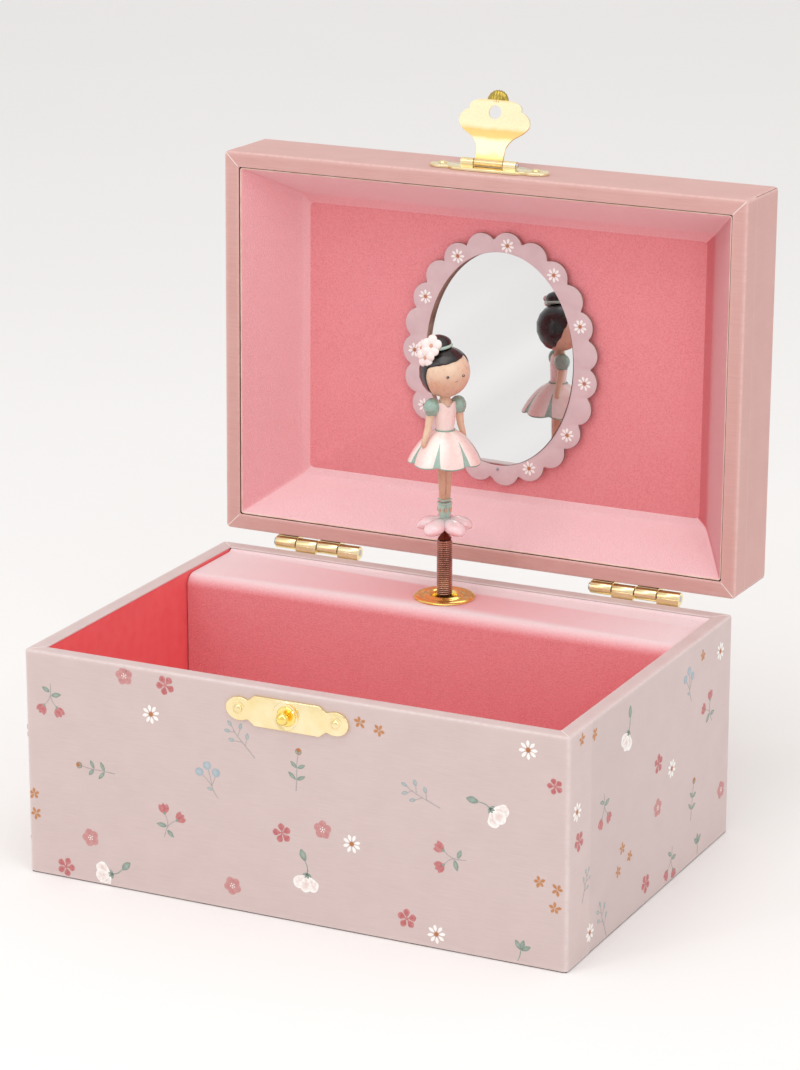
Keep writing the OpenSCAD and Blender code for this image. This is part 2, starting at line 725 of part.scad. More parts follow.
module ballerina_spring() {
    color("peru") translate([0, figure_y, spring_foot]) difference() {
        cylinder(d = spring_d, h = spring_top - spring_foot);
        translate([0, 0, -1]) cylinder(d = spring_d - 1.6, h = 30);
    }
}
petal_count = 10;
module figure_base() {
    color("pink") translate([0, figure_y, 0]) {
        translate([0, 0, spring_top]) cylinder(r1 = 3.2, r2 = 2, h = 2);
        translate([0, 0, spring_top + 1.8]) cylinder(r = 2, h = 3);
        translate([0, 0, 84]) linear_extrude(2.2) {
            circle(r = petal_d / 2 - 2.2);
            for (i = [0 : petal_count - 1]) rotate(i * 360 / petal_count)
                translate([petal_d / 2 - 2.8, 0]) circle(r = 2.8);
        }
    }
}

// one painted resin casting, facing the front
module arm(s) {
    translate([s * 4.6, 0, 117.6]) rotate([0, s * 18 + 180, 0]) cylinder(r = 1.15, h = 11.2);
    translate([s * 4.5, 0, 117.8]) sphere(r = 1.9);
    translate([s * 8.05, 0, 107]) sphere(r = 1.4);
}
module ballerina_figure() {
    color("peachpuff") translate([0, figure_y, 0]) {
        translate([0, 0, 86.2]) cylinder(r1 = 3, r2 = 2.1, h = 5);
        translate([0, 0, 91.2]) cylinder(r = 2.1, h = 11);
        rotate_extrude() polygon([[0, 101.4], [9.8, 100.6], [skirt_d / 2, 100.8],
            [skirt_d / 2 - 0.2, 102.2], [6.6, 107.4], [3.2, 111.4], [3.2, 113], [4.2, 117.4],
            [3.4, 119.2], [1.3, 119.8], [1.3, 122.5], [0, 122.5]]);
        translate([0, 0, 128.5]) sphere(d = head_d);
        translate([-1.3, 1, 136]) sphere(r = 2.9);
        arm(-1);
        arm(1);
    }
}

front_board();
back_board();
left_board();
right_board();
floor_board();
underside_sheet();
base_wrap();
front_lining();
left_lining();
right_lining();
compartment_pad();
mechanism_cover();
cover_cleats();
grommet();
strike_plate();
strike_stud();
strike_nails();
base_hinge_leaves();
hinge_pins();
base_hinge_nails();
bedplate();
bedplate_screws();
foot_bracket();
top_bracket();
comb_stand();
comb();
comb_screws();
governor_frame();
key_eyelet();
lid_top_board();
lid_front_board();
lid_back_board();
lid_left_board();
lid_right_board();
lid_wrap();
liner_panel();
liner_sides();
mirror_frame();
mirror_glass();
lid_hinge_leaves();
lid_hinge_nails();
hasp_plate();
hasp_nails();
hasp_pin();
hasp_tongue();
winding_key();
winding_arbor();
spring_barrel();
barrel_cap();
crown_wheel();
mainspring();
music_cylinder();
cylinder_arbor();
cylinder_pinion();
great_wheel();
governor_wheel();
governor_fan();
ballerina_spring();
figure_base();
ballerina_figure();
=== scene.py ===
"""Looks of the ballerina jewellery box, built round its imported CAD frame. Lengths in the text are in mm."""
import json
import math
import random

import bmesh
import bpy
from mathutils import Matrix, Vector


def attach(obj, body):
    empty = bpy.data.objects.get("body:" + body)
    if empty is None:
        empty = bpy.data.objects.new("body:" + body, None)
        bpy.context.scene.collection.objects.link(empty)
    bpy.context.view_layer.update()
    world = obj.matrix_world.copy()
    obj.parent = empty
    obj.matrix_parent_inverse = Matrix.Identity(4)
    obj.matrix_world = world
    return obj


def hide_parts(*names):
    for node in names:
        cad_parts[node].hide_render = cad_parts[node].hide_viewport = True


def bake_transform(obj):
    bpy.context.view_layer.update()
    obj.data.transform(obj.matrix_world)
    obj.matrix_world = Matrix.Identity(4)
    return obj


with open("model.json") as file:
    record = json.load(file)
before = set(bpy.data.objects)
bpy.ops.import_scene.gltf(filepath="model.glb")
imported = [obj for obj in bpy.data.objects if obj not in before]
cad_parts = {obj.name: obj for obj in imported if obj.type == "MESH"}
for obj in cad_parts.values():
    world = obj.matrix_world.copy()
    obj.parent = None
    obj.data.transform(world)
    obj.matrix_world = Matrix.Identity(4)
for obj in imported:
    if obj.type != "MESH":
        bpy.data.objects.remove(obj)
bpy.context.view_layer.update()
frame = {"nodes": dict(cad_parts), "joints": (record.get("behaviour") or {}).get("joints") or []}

MM = 0.001
TAU = 2 * math.pi

# ---- places from the frame, in millimetres ----------------------------------------------------


def joint(name):
    """One joint of the frame, by its name."""
    return next(j for j in frame["joints"] if j["name"] == name)


def spin(angle, axis="Z"):
    """The matrix that turns by an angle in degrees about an axis through the origin."""
    return Matrix.Rotation(math.radians(angle), 4, axis)


def turned(angle, axis, pivot):
    """The same about an axis through a point."""
    pivot = Vector(pivot)
    return Matrix.Translation(pivot) @ spin(angle, axis) @ Matrix.Translation(-pivot)


PIVOT = Vector(joint("lid_hinge")["pos_m"]) / MM
LID_OPEN = joint("lid_hinge")["range_deg"][1]
OPENED = turned(-LID_OPEN, "X", PIVOT)  # from the shut lid, in which its pieces are drawn
HASP_PIN = OPENED.inverted() @ (Vector(joint("hasp_hinge")["pos_m"]) / MM)
RAISED = OPENED @ turned(-joint("hasp_hinge")["range_deg"][1], "X", HASP_PIN)
FIGURE_Y = joint("ballerina_spin")["pos_m"][1] / MM
KEY_Z = joint("key_wind")["pos_m"][2] / MM
FIGURE_TURN = 50  # degrees that the dancer looks to the right of the front
FIGURE = Matrix.Translation((0, FIGURE_Y, 0)) @ spin(FIGURE_TURN)


def node_box(node, undo=Matrix.Identity(4)):
    """Lowest and highest corner of a CAD node, after undoing the lid's turn if asked."""
    points = [undo @ (v.co / MM) for v in frame["nodes"][node].data.vertices]
    low = Vector(min(p[i] for p in points) for i in range(3))
    high = Vector(max(p[i] for p in points) for i in range(3))
    return low, high


SHUT = OPENED.inverted()
BASE_LOW, BASE_HIGH = node_box("base_wrap")
LID_LOW, LID_HIGH = node_box("lid_wrap", SHUT)
PANEL_LOW, PANEL_HIGH = node_box("liner_panel", SHUT)
MOUTH_LOW, MOUTH_HIGH = node_box("liner_sides", SHUT)
FRAME_LOW, FRAME_HIGH = node_box("mirror_frame", SHUT)
GLASS_Z = node_box("mirror_glass", SHUT)[0].z
COVER_LOW, COVER_HIGH = node_box("mechanism_cover")
PAD_LOW, PAD_HIGH = node_box("compartment_pad")
STRIKE_LOW, STRIKE_HIGH = node_box("strike_plate")
HALF_W, HALF_D = BASE_HIGH.x, BASE_HIGH.y
RIM = HALF_W + node_box("left_lining")[1].x  # width of the wrapped rim
RIM_Z = BASE_HIGH.z
STUD_Z = (STRIKE_LOW.z + STRIKE_HIGH.z) / 2
HASP_Z = HASP_PIN.z

# ---- materials -----------------------------------------------------------------------------------


def srgb(r, g, b):
    """A colour as it looks, from 0 to 255, in the renderer's linear values."""
    def linear(c):
        c = c / 255
        return c / 12.92 if c <= 0.04045 else ((c + 0.055) / 1.055) ** 2.4
    return (linear(r), linear(g), linear(b), 1)


class Finish:
    """One procedural material. Patterns follow object coordinates, in metres."""

    def __init__(self, name, **constants):
        self.material = bpy.data.materials.new(name)
        self.material.use_nodes = True
        self.tree = self.material.node_tree
        self.shader = self.tree.nodes["Principled BSDF"]
        self.coords = self.tree.nodes.new("ShaderNodeTexCoord").outputs["Object"]
        for socket, value in constants.items():
            self.shader.inputs[socket.replace("_", " ")].default_value = value

    def node(self, kind, **inputs):
        """A shader node whose inputs are numbers or other nodes' outputs."""
        made = self.tree.nodes.new("ShaderNode" + kind)
        for key, value in inputs.items():
            self.feed(made.inputs[key.replace("_", " ")], value)
        return made

    def feed(self, socket, value):
        if isinstance(value, bpy.types.NodeSocket):
            self.tree.links.new(value, socket)
        else:
            socket.default_value = value

    def noise(self, size, detail=4, stretch=(1, 1, 1), roughness=0.5):
        """Soft noise whose blobs are about size millimetres across, drawn out along some axes."""
        scaled = self.node("VectorMath", Vector=self.coords)
        scaled.operation = "MULTIPLY"
        scaled.inputs[1].default_value = [1 / (size * MM * s) for s in stretch]
        made = self.node("TexNoise", Scale=1.0, Detail=detail, Roughness=roughness)
        self.tree.links.new(scaled.outputs[0], made.inputs["Vector"])
        return made.outputs[0]

    def cells(self, size):
        """Distance to the nearest of scattered points about size millimetres apart."""
        return self.node("TexVoronoi", Vector=self.coords, Scale=1 / (size * MM)).outputs["Distance"]

    def attribute(self, name):
        made = self.node("Attribute")
        made.attribute_name = name
        return made.outputs["Fac"]

    def span(self, value, low, high, to_low=0.0, to_high=1.0):
        """A value brought from one range into another, and held there."""
        made = self.node("MapRange", Value=value, From_Min=low, From_Max=high, To_Min=to_low,
                         To_Max=to_high)
        return made.outputs[0]

    def math(self, operation, a, b):
        made = self.node("Math")
        made.operation = operation
        self.feed(made.inputs[0], a)
        self.feed(made.inputs[1], b)
        return made.outputs[0]

    def mix(self, factor, a, b, blend="MIX"):
        made = self.node("Mix")
        made.data_type = "RGBA"
        made.blend_type = blend
        self.feed(made.inputs[0], factor)
        self.feed(made.inputs[6], a)
        self.feed(made.inputs[7], b)
        return made.outputs[2]

    def colour(self, value):
        self.feed(self.shader.inputs["Base Color"], value)

    def rough(self, value):
        self.feed(self.shader.inputs["Roughness"], value)

    def bump(self, height, depth, strength=1.0, under=None):
        """Relief of about depth millimetres."""
        made = self.node("Bump", Height=height, Strength=strength, Distance=depth * MM)
        if under is not None:
            self.tree.links.new(under, made.inputs["Normal"])
        self.tree.links.new(made.outputs[0], self.shader.inputs["Normal"])
        return made.outputs[0]


def paper(name, colour, shade, edge):
    """Wrapped printed paper: laid fibres, soft mottling, and folds paler with wear and with painted
    highlights.
    """
    f = Finish(name, Specular_IOR_Level=0.42, Sheen_Weight=0.05)
    mottle = f.span(f.noise(9, 5), 0.3, 0.7)
    fibre = f.span(f.noise(0.5, 3, (14, 14, 0.5)), 0.35, 0.65)
    body = f.mix(mottle, shade, colour)
    body = f.mix(f.math("MULTIPLY", fibre, 0.16), body, edge)
    # the tone paints the folds paler: partly wear, partly painted highlight along the rounded edges
    wear_and_painted_highlight = f.math("MULTIPLY", f.attribute("tone"), f.span(f.noise(1.6, 4), 0.3, 0.6, 0.45, 0.95))
    f.colour(f.mix(wear_and_painted_highlight, body, edge))
    f.rough(f.span(fibre, 0, 1, 0.42, 0.56))
    fold = f.bump(f.noise(7, 2), 0.05, 0.5)
    f.bump(fibre, 0.02, 0.5, fold)
    return f.material


def flock(name, deep, light, painted_light_colour=srgb(255, 214, 218)):
    """Short velvet flock: speckled pile, paler with painted light where the tone attribute is above nought,
    and deeper with painted shade where the tone is below nought."""
    f = Finish(name, Sheen_Weight=1.0, Sheen_Roughness=0.5, Sheen_Tint=srgb(255, 232, 234),
               Specular_IOR_Level=0.12)
    pile = f.span(f.noise(0.34, 3, roughness=0.7), 0.36, 0.64)
    nap = f.span(f.noise(13, 3), 0.35, 0.65)
    speck = f.math("MULTIPLY", f.span(f.cells(0.62), 0.0, 0.6), 0.55)
    body = f.mix(f.math("ADD", f.math("MULTIPLY", pile, 0.5), speck), deep, light)
    body = f.mix(f.math("MULTIPLY", nap, 0.22), body, light)
    # painted light: the tone lifts the pile towards the pale painted-light colour
    brushing_and_painted_light = f.math("MULTIPLY", f.attribute("tone"), f.math("ADD", 0.82, f.math("MULTIPLY", pile, 0.25)))
    # painted shade: below nought the tone deepens the pile towards a darker pink
    body = f.mix(f.math("MULTIPLY", f.attribute("tone"), -1.0), body, srgb(202, 80, 88))
    f.colour(f.mix(brushing_and_painted_light, body, painted_light_colour))
    f.rough(f.span(pile, 0, 1, 0.82, 0.98))
    f.bump(pile, 0.14, 0.6)
    return f.material


def smooth_card(name, colour, shade, rough=0.5):
    """Card or plain sheet with a fine grain and soft clouds."""
    f = Finish(name, Specular_IOR_Level=0.3)
    f.colour(f.mix(f.span(f.noise(4, 5), 0.3, 0.7), shade, colour))
    grain = f.noise(0.3, 3)
    f.rough(f.span(grain, 0.3, 0.7, rough - 0.05, rough + 0.1))
    f.bump(grain, 0.02, 0.5)
    return f.material


def metal(name, colour, shade, rough, grain=(1, 1, 1), dent=0.02, mottle=1.0, **constants):
    """Metal with brushing drawn out along an axis, faint tarnishing, fine dents, and painted reflection and
    shade where the tone attribute is set.
    """
    f = Finish(name, Metallic=1.0, **constants)
    # painted reflection and shade: the tone attribute pulls the colour towards the shade colour
    painted_reflection_and_shade = f.math("MULTIPLY", f.attribute("tone"), 0.9 - 0.5 * mottle)
    tarnish_and_painted_reflection = f.span(f.math("ADD", f.math("MULTIPLY", f.noise(5, 5), mottle), painted_reflection_and_shade), 0.35, 0.75)
    brushing_and_painted_light = f.noise(0.25, 3, grain)
    f.colour(f.mix(tarnish_and_painted_reflection, colour, shade))
    f.rough(f.span(brushing_and_painted_light, 0.3, 0.7, rough * 0.75, rough * 1.3))
    f.bump(f.noise(1.4, 2), dent, 0.6, f.bump(brushing_and_painted_light, 0.006, 0.4))
    return f.material


def paint(name, colour, shade, rough=0.3, coat=0.5, size=1.2):
    """Brushed hobby paint under a thin varnish; the tone attribute runs from shade to colour."""
    f = Finish(name, Coat_Weight=coat, Coat_Roughness=0.18, Subsurface_Weight=0.08,
               Subsurface_Radius=(0.6 * MM, 0.3 * MM, 0.2 * MM), Subsurface_Scale=1.0)
    brush = f.noise(size, 4, (1, 1, 1.3))
    tone = f.math("ADD", f.attribute("tone"), f.span(brush, 0.3, 0.7, -0.13, 0.13))
    f.colour(f.mix(f.span(tone, 0, 1), shade, colour))
    f.rough(f.span(brush, 0.3, 0.7, rough - 0.06, rough + 0.12))
    f.bump(brush, 0.03, 0.5)
    return f.material


def ink(name, colour, wash):
    """Watercolour ink printed on the paper: wash at the heart of a stroke, full colour at its tip."""
    f = Finish(name, Specular_IOR_Level=0.35)
    flow = f.span(f.noise(0.9, 4), 0.3, 0.7, -0.35, 0.35)
    tone = f.math("ADD", f.attribute("tone"), flow)
    f.colour(f.mix(f.span(tone, 0, 1), wash, colour))
    f.rough(f.span(f.noise(0.5, 2), 0.3, 0.7, 0.45, 0.58))
    return f.material


def mirror_coat():
    """Silvered glass with a faint haze and hardly visible slanting stripes, a painted reflection."""
    f = Finish("mirror_silver", Metallic=1.0)
    haze = f.noise(16, 2)
    f.coords = f.node("Mapping", Vector=f.coords, Rotation=(0, math.radians(38), 0)).outputs[0]
    # painted reflection: soft slanting stripes of lighter and darker silver
    painted_reflection_bands = f.noise(250, 1, (1, 1, 1 / 15))
    f.colour(f.mix(f.span(painted_reflection_bands, 0.35, 0.65), srgb(222, 223, 224), srgb(234, 235, 236)))
    f.rough(f.span(haze, 0.35, 0.8, 0.004, 0.03))
    return f.material


def petal_gloss():
    """Moulded pink plastic, glossy and a little translucent."""
    f = Finish("petal_gloss", IOR=1.45, Coat_Weight=1.0, Coat_Roughness=0.05, Subsurface_Weight=0.5,
               Subsurface_Radius=(2.5 * MM, 1.4 * MM, 1.4 * MM), Subsurface_Scale=1.0)
    cloud = f.span(f.noise(3, 3), 0.3, 0.7)
    f.colour(f.mix(cloud, srgb(255, 232, 234), srgb(255, 214, 218)))
    f.rough(f.span(cloud, 0, 1, 0.1, 0.2))
    f.bump(f.noise(1.8, 2), 0.03, 0.5)
    return f.material


PAPER_PRINT = paper("paper_print", srgb(213, 192, 189), srgb(209, 188, 185), srgb(236, 220, 217))
PAPER_ROSE = paper("paper_rose", srgb(212, 164, 157), srgb(208, 158, 151), srgb(238, 204, 197))
PAPER_EDGE = smooth_card("paper_cut_edge", srgb(248, 240, 236), srgb(236, 222, 216), 0.7)
FLOCK_DEEP = flock("flock_deep", srgb(218, 92, 102), srgb(242, 132, 140))
FLOCK_PINK = flock("flock_pink", srgb(232, 120, 128), srgb(250, 158, 164))
# its third colour is the painted light that pales the platform's top
FLOCK_LIGHT = flock("flock_light", srgb(234, 128, 136), srgb(250, 162, 168), srgb(255, 238, 240))
LINING = smooth_card("lining_coral", srgb(255, 124, 126), srgb(252, 112, 116), 0.42)
BOARD = smooth_card("greyboard", srgb(120, 92, 78), srgb(92, 68, 58), 0.85)
SHEET = smooth_card("underside_paper", srgb(116, 104, 100), srgb(96, 86, 84), 0.8)
CARD = smooth_card("card_mauve", srgb(222, 196, 199), srgb(214, 186, 190), 0.38)
CARD_EDGE = smooth_card("card_cut_edge", srgb(176, 146, 132), srgb(140, 108, 96), 0.8)
LINER_EDGE = smooth_card("liner_cut_edge", srgb(246, 222, 206), srgb(226, 188, 170), 0.7)
BRASS = metal("brass_bright", srgb(253, 238, 196), srgb(246, 222, 160), 0.2, (6, 1, 1))
BRASS_SHEET = metal("brass_sheet", srgb(244, 228, 190), srgb(230, 194, 124), 0.22, (6, 1, 1), mottle=0.5)
BRASS_DEEP = metal("brass_deep", srgb(255, 238, 152), srgb(254, 214, 104), 0.16)
BRASS_OLD = metal("brass_knurled", srgb(206, 182, 96), srgb(150, 124, 48), 0.3)
BRASS_GEAR = metal("brass_gear", srgb(226, 184, 104), srgb(196, 150, 76), 0.3)
ARBOR = metal("arbor_brown", srgb(132, 96, 74), srgb(92, 64, 50), 0.4)
STEEL = metal("steel", srgb(206, 208, 212), srgb(170, 172, 178), 0.26, (1, 1, 5))
ZINC = metal("zinc", srgb(196, 198, 202), srgb(160, 162, 168), 0.4)
BLUED = metal("blued_spring", srgb(78, 92, 124), srgb(50, 58, 84), 0.3)
BRONZE = metal("spring_bronze", srgb(190, 144, 124), srgb(124, 80, 66), 0.1, Coat_Weight=0.8)
BRONZE_DARK = metal("spring_cap_bronze", srgb(126, 66, 50), srgb(92, 44, 34), 0.38)
MIRROR = mirror_coat()
PETAL = petal_gloss()
SKIN = paint("skin_paint", srgb(242, 212, 184), srgb(214, 168, 138), 0.3, 0.4)
HAIR = paint("hair_paint", srgb(34, 22, 22), srgb(18, 11, 13), 0.3, 0.45, 0.8)
MINT = paint("mint_paint", srgb(164, 194, 180), srgb(130, 164, 150), 0.22, 0.8)
MINT_PALE = paint("mint_pale_paint", srgb(194, 220, 206), srgb(160, 194, 178), 0.3)
DRESS = paint("dress_paint", srgb(255, 243, 236), srgb(250, 216, 210), 0.3)
BLOSSOM = paint("blossom_paint", srgb(255, 246, 242), srgb(244, 208, 208), 0.3)
BLUSH_SOFT = paint("blush_soft_paint", srgb(228, 168, 138), srgb(220, 150, 128), 0.4, 0.2)
FACE_INK = paint("face_ink", srgb(96, 78, 78), srgb(70, 54, 56), 0.3)
BLUSH = paint("blush_paint", srgb(206, 134, 108), srgb(190, 112, 92), 0.4, 0.2)
INKS = {
    "red": ink("ink_red", srgb(188, 104, 106), srgb(212, 152, 150)),
    "pink": ink("ink_pink", srgb(198, 134, 134), srgb(212, 164, 160)),
    "white": ink("ink_white", srgb(252, 250, 247), srgb(240, 226, 220)),
    "tulip": ink("ink_tulip", srgb(252, 249, 246), srgb(228, 200, 194)),
    "orange": ink("ink_orange", srgb(192, 130, 84), srgb(206, 154, 112)),
    "heart": ink("ink_heart", srgb(190, 128, 84), srgb(172, 104, 66)),
    "green": ink("ink_green", srgb(134, 152, 140), srgb(166, 178, 168)),
    "sage": ink("ink_sage", srgb(162, 174, 174), srgb(184, 190, 188)),
    "berry": ink("ink_berry", srgb(162, 180, 190), srgb(188, 196, 200)),
    "stem": ink("ink_stem", srgb(172, 166, 166), srgb(190, 180, 178)),
}

# ---- mesh tools ----------------------------------------------------------------------------------

SHARP = 38  # degrees between faces over which an edge stays sharp


def linked(name, data):
    """A new object in the scene for a mesh, a light or a camera."""
    made = bpy.data.objects.new(name, data)
    bpy.context.scene.collection.objects.link(made)
    return made


class Shape:
    """Closed solids gathered into one mesh, in millimetres, with a material and a tone for each part."""

    def __init__(self):
        self.points, self.tones, self.faces, self.inks = [], [], [], []

    def add(self, points, faces, ink=0, tones=None):
        start = len(self.points)
        self.points += [Vector(p) for p in points]
        self.tones += list(tones) if tones else [0.0] * len(points)
        self.faces += [[start + i for i in face] for face in faces]
        self.inks += list(ink) if isinstance(ink, (list, tuple)) else [ink] * len(faces)

    def move(self, matrix, since=0):
        self.points[since:] = [matrix @ p for p in self.points[since:]]

    def loft(self, rings, ink=0, tones=None, around=True, shut=False, caps=(True, True)):
        """Skins rings of equal length. around joins each ring's ends; shut joins last ring to first."""
        n = len(rings[0])
        points = [p for ring in rings for p in ring]
        if tones and not hasattr(tones[0], "__len__"):
            tones = [[t] * n for t in tones]
        flat = [t for row in tones for t in row] if tones else [0.0] * len(points)
        faces = []
        count = len(rings) if shut else len(rings) - 1
        for k in range(count):
            a, b = k * n, (k + 1) % len(rings) * n
            for i in range(n if around else n - 1):
                j = (i + 1) % n
                faces.append([a + i, a + j, b + j, b + i])
        if not shut:
            if caps[0]:
                faces.append(list(range(n))[::-1])
            if caps[1]:
                faces.append([(len(rings) - 1) * n + i for i in range(n)])
        self.add(points, faces, ink, flat)

    def lathe(self, profile, steps=32, ink=0, tones=None, at=(0, 0, 0), shut=False):
        """Turns (radius, height) points about Z through a point. A radius of 0 makes a point."""
        at = Vector(at)
        rings = [[at + Vector((r * math.cos(TAU * i / steps), r * math.sin(TAU * i / steps), h))
                  for i in range(steps)] for r, h in profile]
        self.loft(rings, ink, tones, shut=shut, caps=(not shut, not shut))

    def tube(self, path, radius, sides=8, ink=0, tones=None, shut=False):
        """A round tube along a path. radius is one number, or one for each point."""
        path = [Vector(p) for p in path]
        radii = radius if hasattr(radius, "__len__") else [radius] * len(path)
        rings = []
        side = None
        for i, p in enumerate(path):
            before = path[i - 1] if i or shut else p
            after = path[(i + 1) % len(path)] if i + 1 < len(path) or shut else p
            along = (after - before).normalized()
            if side is None:
                side = along.orthogonal().normalized()
            side = (side - along * side.dot(along)).normalized()
            other = along.cross(side)
            rings.append([p + radii[i] * (side * math.cos(TAU * k / sides)
                                          + other * math.sin(TAU * k / sides)) for k in range(sides)])
        self.loft(rings, ink, tones, shut=shut)

    def ball(self, at, radii, steps=24, ink=0, tone=0.0, warp=None):
        """An ellipsoid. warp changes each point of the unit ball first."""
        at, radii = Vector(at), Vector(radii if hasattr(radii, "__len__") else [radii] * 3)
        rings = []
        half = steps // 2
        for k in range(1, half):
            a = math.pi * k / half
            ring = []
            for i in range(steps):
                b = TAU * i / steps
                p = Vector((math.sin(a) * math.cos(b), math.sin(a) * math.sin(b), -math.cos(a)))
                p = warp(p) if warp else p
                ring.append(at + Vector(x * r for x, r in zip(p, radii)))
            rings.append(ring)
        self.loft(rings, ink, [tone] * len(rings))

    def plate(self, outline, low, high, bevel=0.15, ink=0, tones=None, steps=2):
        """A flat plate in X and Y from low to high with rounded edges on its high side."""
        rings = [at_height(outline, low)]
        for k in range(steps + 1):
            a = math.pi / 2 * k / steps
            shrunk = inset(outline, bevel * (1 - math.cos(a)))
            rings.append(at_height(shrunk, high - bevel * (1 - math.sin(a))))
        self.loft(rings, ink, tones)

    def build(self, name, materials=(), place=Matrix.Identity(4), sharp=SHARP):
        """Makes the Blender object, in metres."""
        data = bpy.data.meshes.new(name)
        scaled = Matrix.Scale(MM, 4) @ place
        data.from_pydata([scaled @ p for p in self.points], [], self.faces)
        for m in materials if isinstance(materials, (list, tuple)) else [materials]:
            data.materials.append(m)
        for polygon, k in zip(data.polygons, self.inks):
            polygon.material_index = k
        tone = data.attributes.new("tone", "FLOAT", "POINT")
        tone.data.foreach_set("value", self.tones)
        shade(data, sharp)
        return linked(name, data)

    def piece(self, name, materials, body, slot, replaces=(), place=Matrix.Identity(4), sharp=SHARP):
        """Makes the Blender object, riding on its CAD body."""
        made = self.build(name, materials, place, sharp)
        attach(made, body)
        if replaces:
            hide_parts(*replaces)
        return made


def shade(data, sharp):
    """Outward faces, merged doubles, and smooth shading up to an angle."""
    work = bmesh.new()
    work.from_mesh(data)
    bmesh.ops.remove_doubles(work, verts=work.verts, dist=1e-7)
    bmesh.ops.dissolve_degenerate(work, edges=work.edges, dist=1e-7)
    bmesh.ops.recalc_face_normals(work, faces=work.faces)
    for face in work.faces:
        face.smooth = True
    for edge in work.edges:
        edge.smooth = len(edge.link_faces) == 2 and edge.calc_face_angle(0) < math.radians(sharp)
    work.to_mesh(data)
    work.free()


def inset(outline, distance):
    """A closed outline moved inwards along its corners' bisectors."""
    following = outline[1:] + outline[:1]
    area = sum(p.x * q.y - q.x * p.y for p, q in zip(outline, following))
    sign = 1 if area > 0 else -1
    moved = []
    for i, p in enumerate(outline):
        a = (p - outline[i - 1]).normalized()
        b = (following[i] - p).normalized()
        normal = Vector((-(a.y + b.y), a.x + b.x)) * sign
        if normal.length > 1e-9:
            normal = normal.normalized() / max(0.5, math.sqrt(max(0.0, (1 + a.dot(b)) / 2)))
        moved.append(p + normal * distance)
    return moved


def at_height(outline, z):
    """A ring of points at one height over a flat outline."""
    return [Vector((p.x, p.y, z)) for p in outline]


def arc(centre, radius, start, end, steps=8):
    """Points along an arc, angles in degrees."""
    rx, ry = radius if hasattr(radius, "__len__") else (radius, radius)
    return [Vector((centre[0] + rx * math.cos(math.radians(start + (end - start) * k / steps)),
                    centre[1] + ry * math.sin(math.radians(start + (end - start) * k / steps))))
            for k in range(steps + 1)]


def curve(points, steps=6, shut=False):
    """A smooth line through points."""
    points = [Vector(p) for p in points]
    n = len(points)
    line = []
    for i in range(n if shut else n - 1):
        p0 = points[i - 1] if i or shut else points[0]
        p1, p2 = points[i], points[(i + 1) % n]
        p3 = points[(i + 2) % n] if shut or i + 2 < n else p2
        for k in range(steps):
            t = k / steps
            line.append(0.5 * (2 * p1 + (p2 - p0) * t + (2 * p0 - 5 * p1 + 4 * p2 - p3) * t * t
                               + (3 * p1 - p0 - 3 * p2 + p3) * t ** 3))
    return line if shut else line + [points[-1]]


def rounded(half_x, half_y, radius, z, steps=5, lead=1.0):
    """A rounded rectangle with an extra point lead millimetres before and after each corner."""
    ring = []
    for sx, sy, start in ((1, -1, -90), (1, 1, 0), (-1, 1, 90), (-1, -1, 180)):
        bend = arc((sx * (half_x - radius), sy * (half_y - radius)), radius, start, start + 90, steps)
        first = math.radians(start)
        back = Vector((math.sin(first), -math.cos(first))) * lead
        last = math.radians(start + 90)
        on = Vector((-math.sin(last), math.cos(last))) * lead
        ring += [Vector((p.x, p.y, z)) for p in [bend[0] + back, *bend, bend[-1] + on]]
    return ring


# the rounded corners are paler in the middle of each bend: wear and painted highlight
CORNER_TONES = [0, 0.05, 0.3, 0.6, 0.6, 0.3, 0.05, 0] * 4  # palest in the middle of each bend


def bored(piece, cutter):
    """Cuts the shape of another object out of a piece and removes the cutter."""
    cut = piece.modifiers.new("bore", "BOOLEAN")
    cut.object, cut.operation, cut.solver = cutter, "DIFFERENCE", "EXACT"
    bpy.context.view_layer.update()
    made = bpy.data.meshes.new_from_object(piece.evaluated_get(bpy.context.evaluated_depsgraph_get()))
    piece.modifiers.clear()
    piece.data = made
    shade(piece.data, SHARP)
    bpy.data.objects.remove(cutter)


def cutter(place, radius, length=8):
    """A plain cylinder along its own Z, used only to cut a hole, then removed."""
    hole = Shape()
    hole.lathe([(radius, -length / 2), (radius, length / 2)], 48)
    hole.move(place)
    return hole.build("cutter")


# ---- wrapped base and lid ---------------------------------------------------------------------------

EDGE_R = 0.7  # rounding of a fold in the paper
SHEET_T = 0.4  # thickness drawn for the paper
LIP = 0.1  # rise of a paper's edge over the layer below
SEAM = 14  # from the right front corner to the paper's seam
KEY_HOLE_R = 3.95
GROMMET_HOLE_R = 5.6
MIRROR_X, MIRROR_Y = 23, 31  # half axes of the frame's oval opening


def mitres(shape, half_x, half_y, z, up):
    """Pale cut edges where the paper is mitred on the corners of a rim."""
    for sx in (-1, 1):
        for sy in (-1, 1):
            outer = Vector((sx * (half_x - 0.5), sy * (half_y - 0.5)))
            inner = Vector((sx * (half_x - RIM + 0.2), sy * (half_y - RIM + 0.2)))
            across = Vector((outer.y - inner.y, inner.x - outer.x)).normalized() * 0.11
            outline = [outer + across, inner + across, inner - across, outer - across]
            low, high = sorted((z, z + up * 0.05))
            shape.loft([at_height(outline, h) for h in (low, high)], 1)


WALK = {"front": SEAM, "left": SEAM + 2 * HALF_W, "back": SEAM + 2 * HALF_W + 2 * HALF_D,
        "right": SEAM + 4 * HALF_W + 2 * HALF_D}  # millimetres round the base from the paper's seam
ROUND = 4 * (HALF_W + HALF_D)
SEAM_Y = -HALF_D + SEAM


def lift(walked):
    """How far the paper stands off the boards: it is wound once round, onto its own end."""
    return LIP * (1 - walked / ROUND)


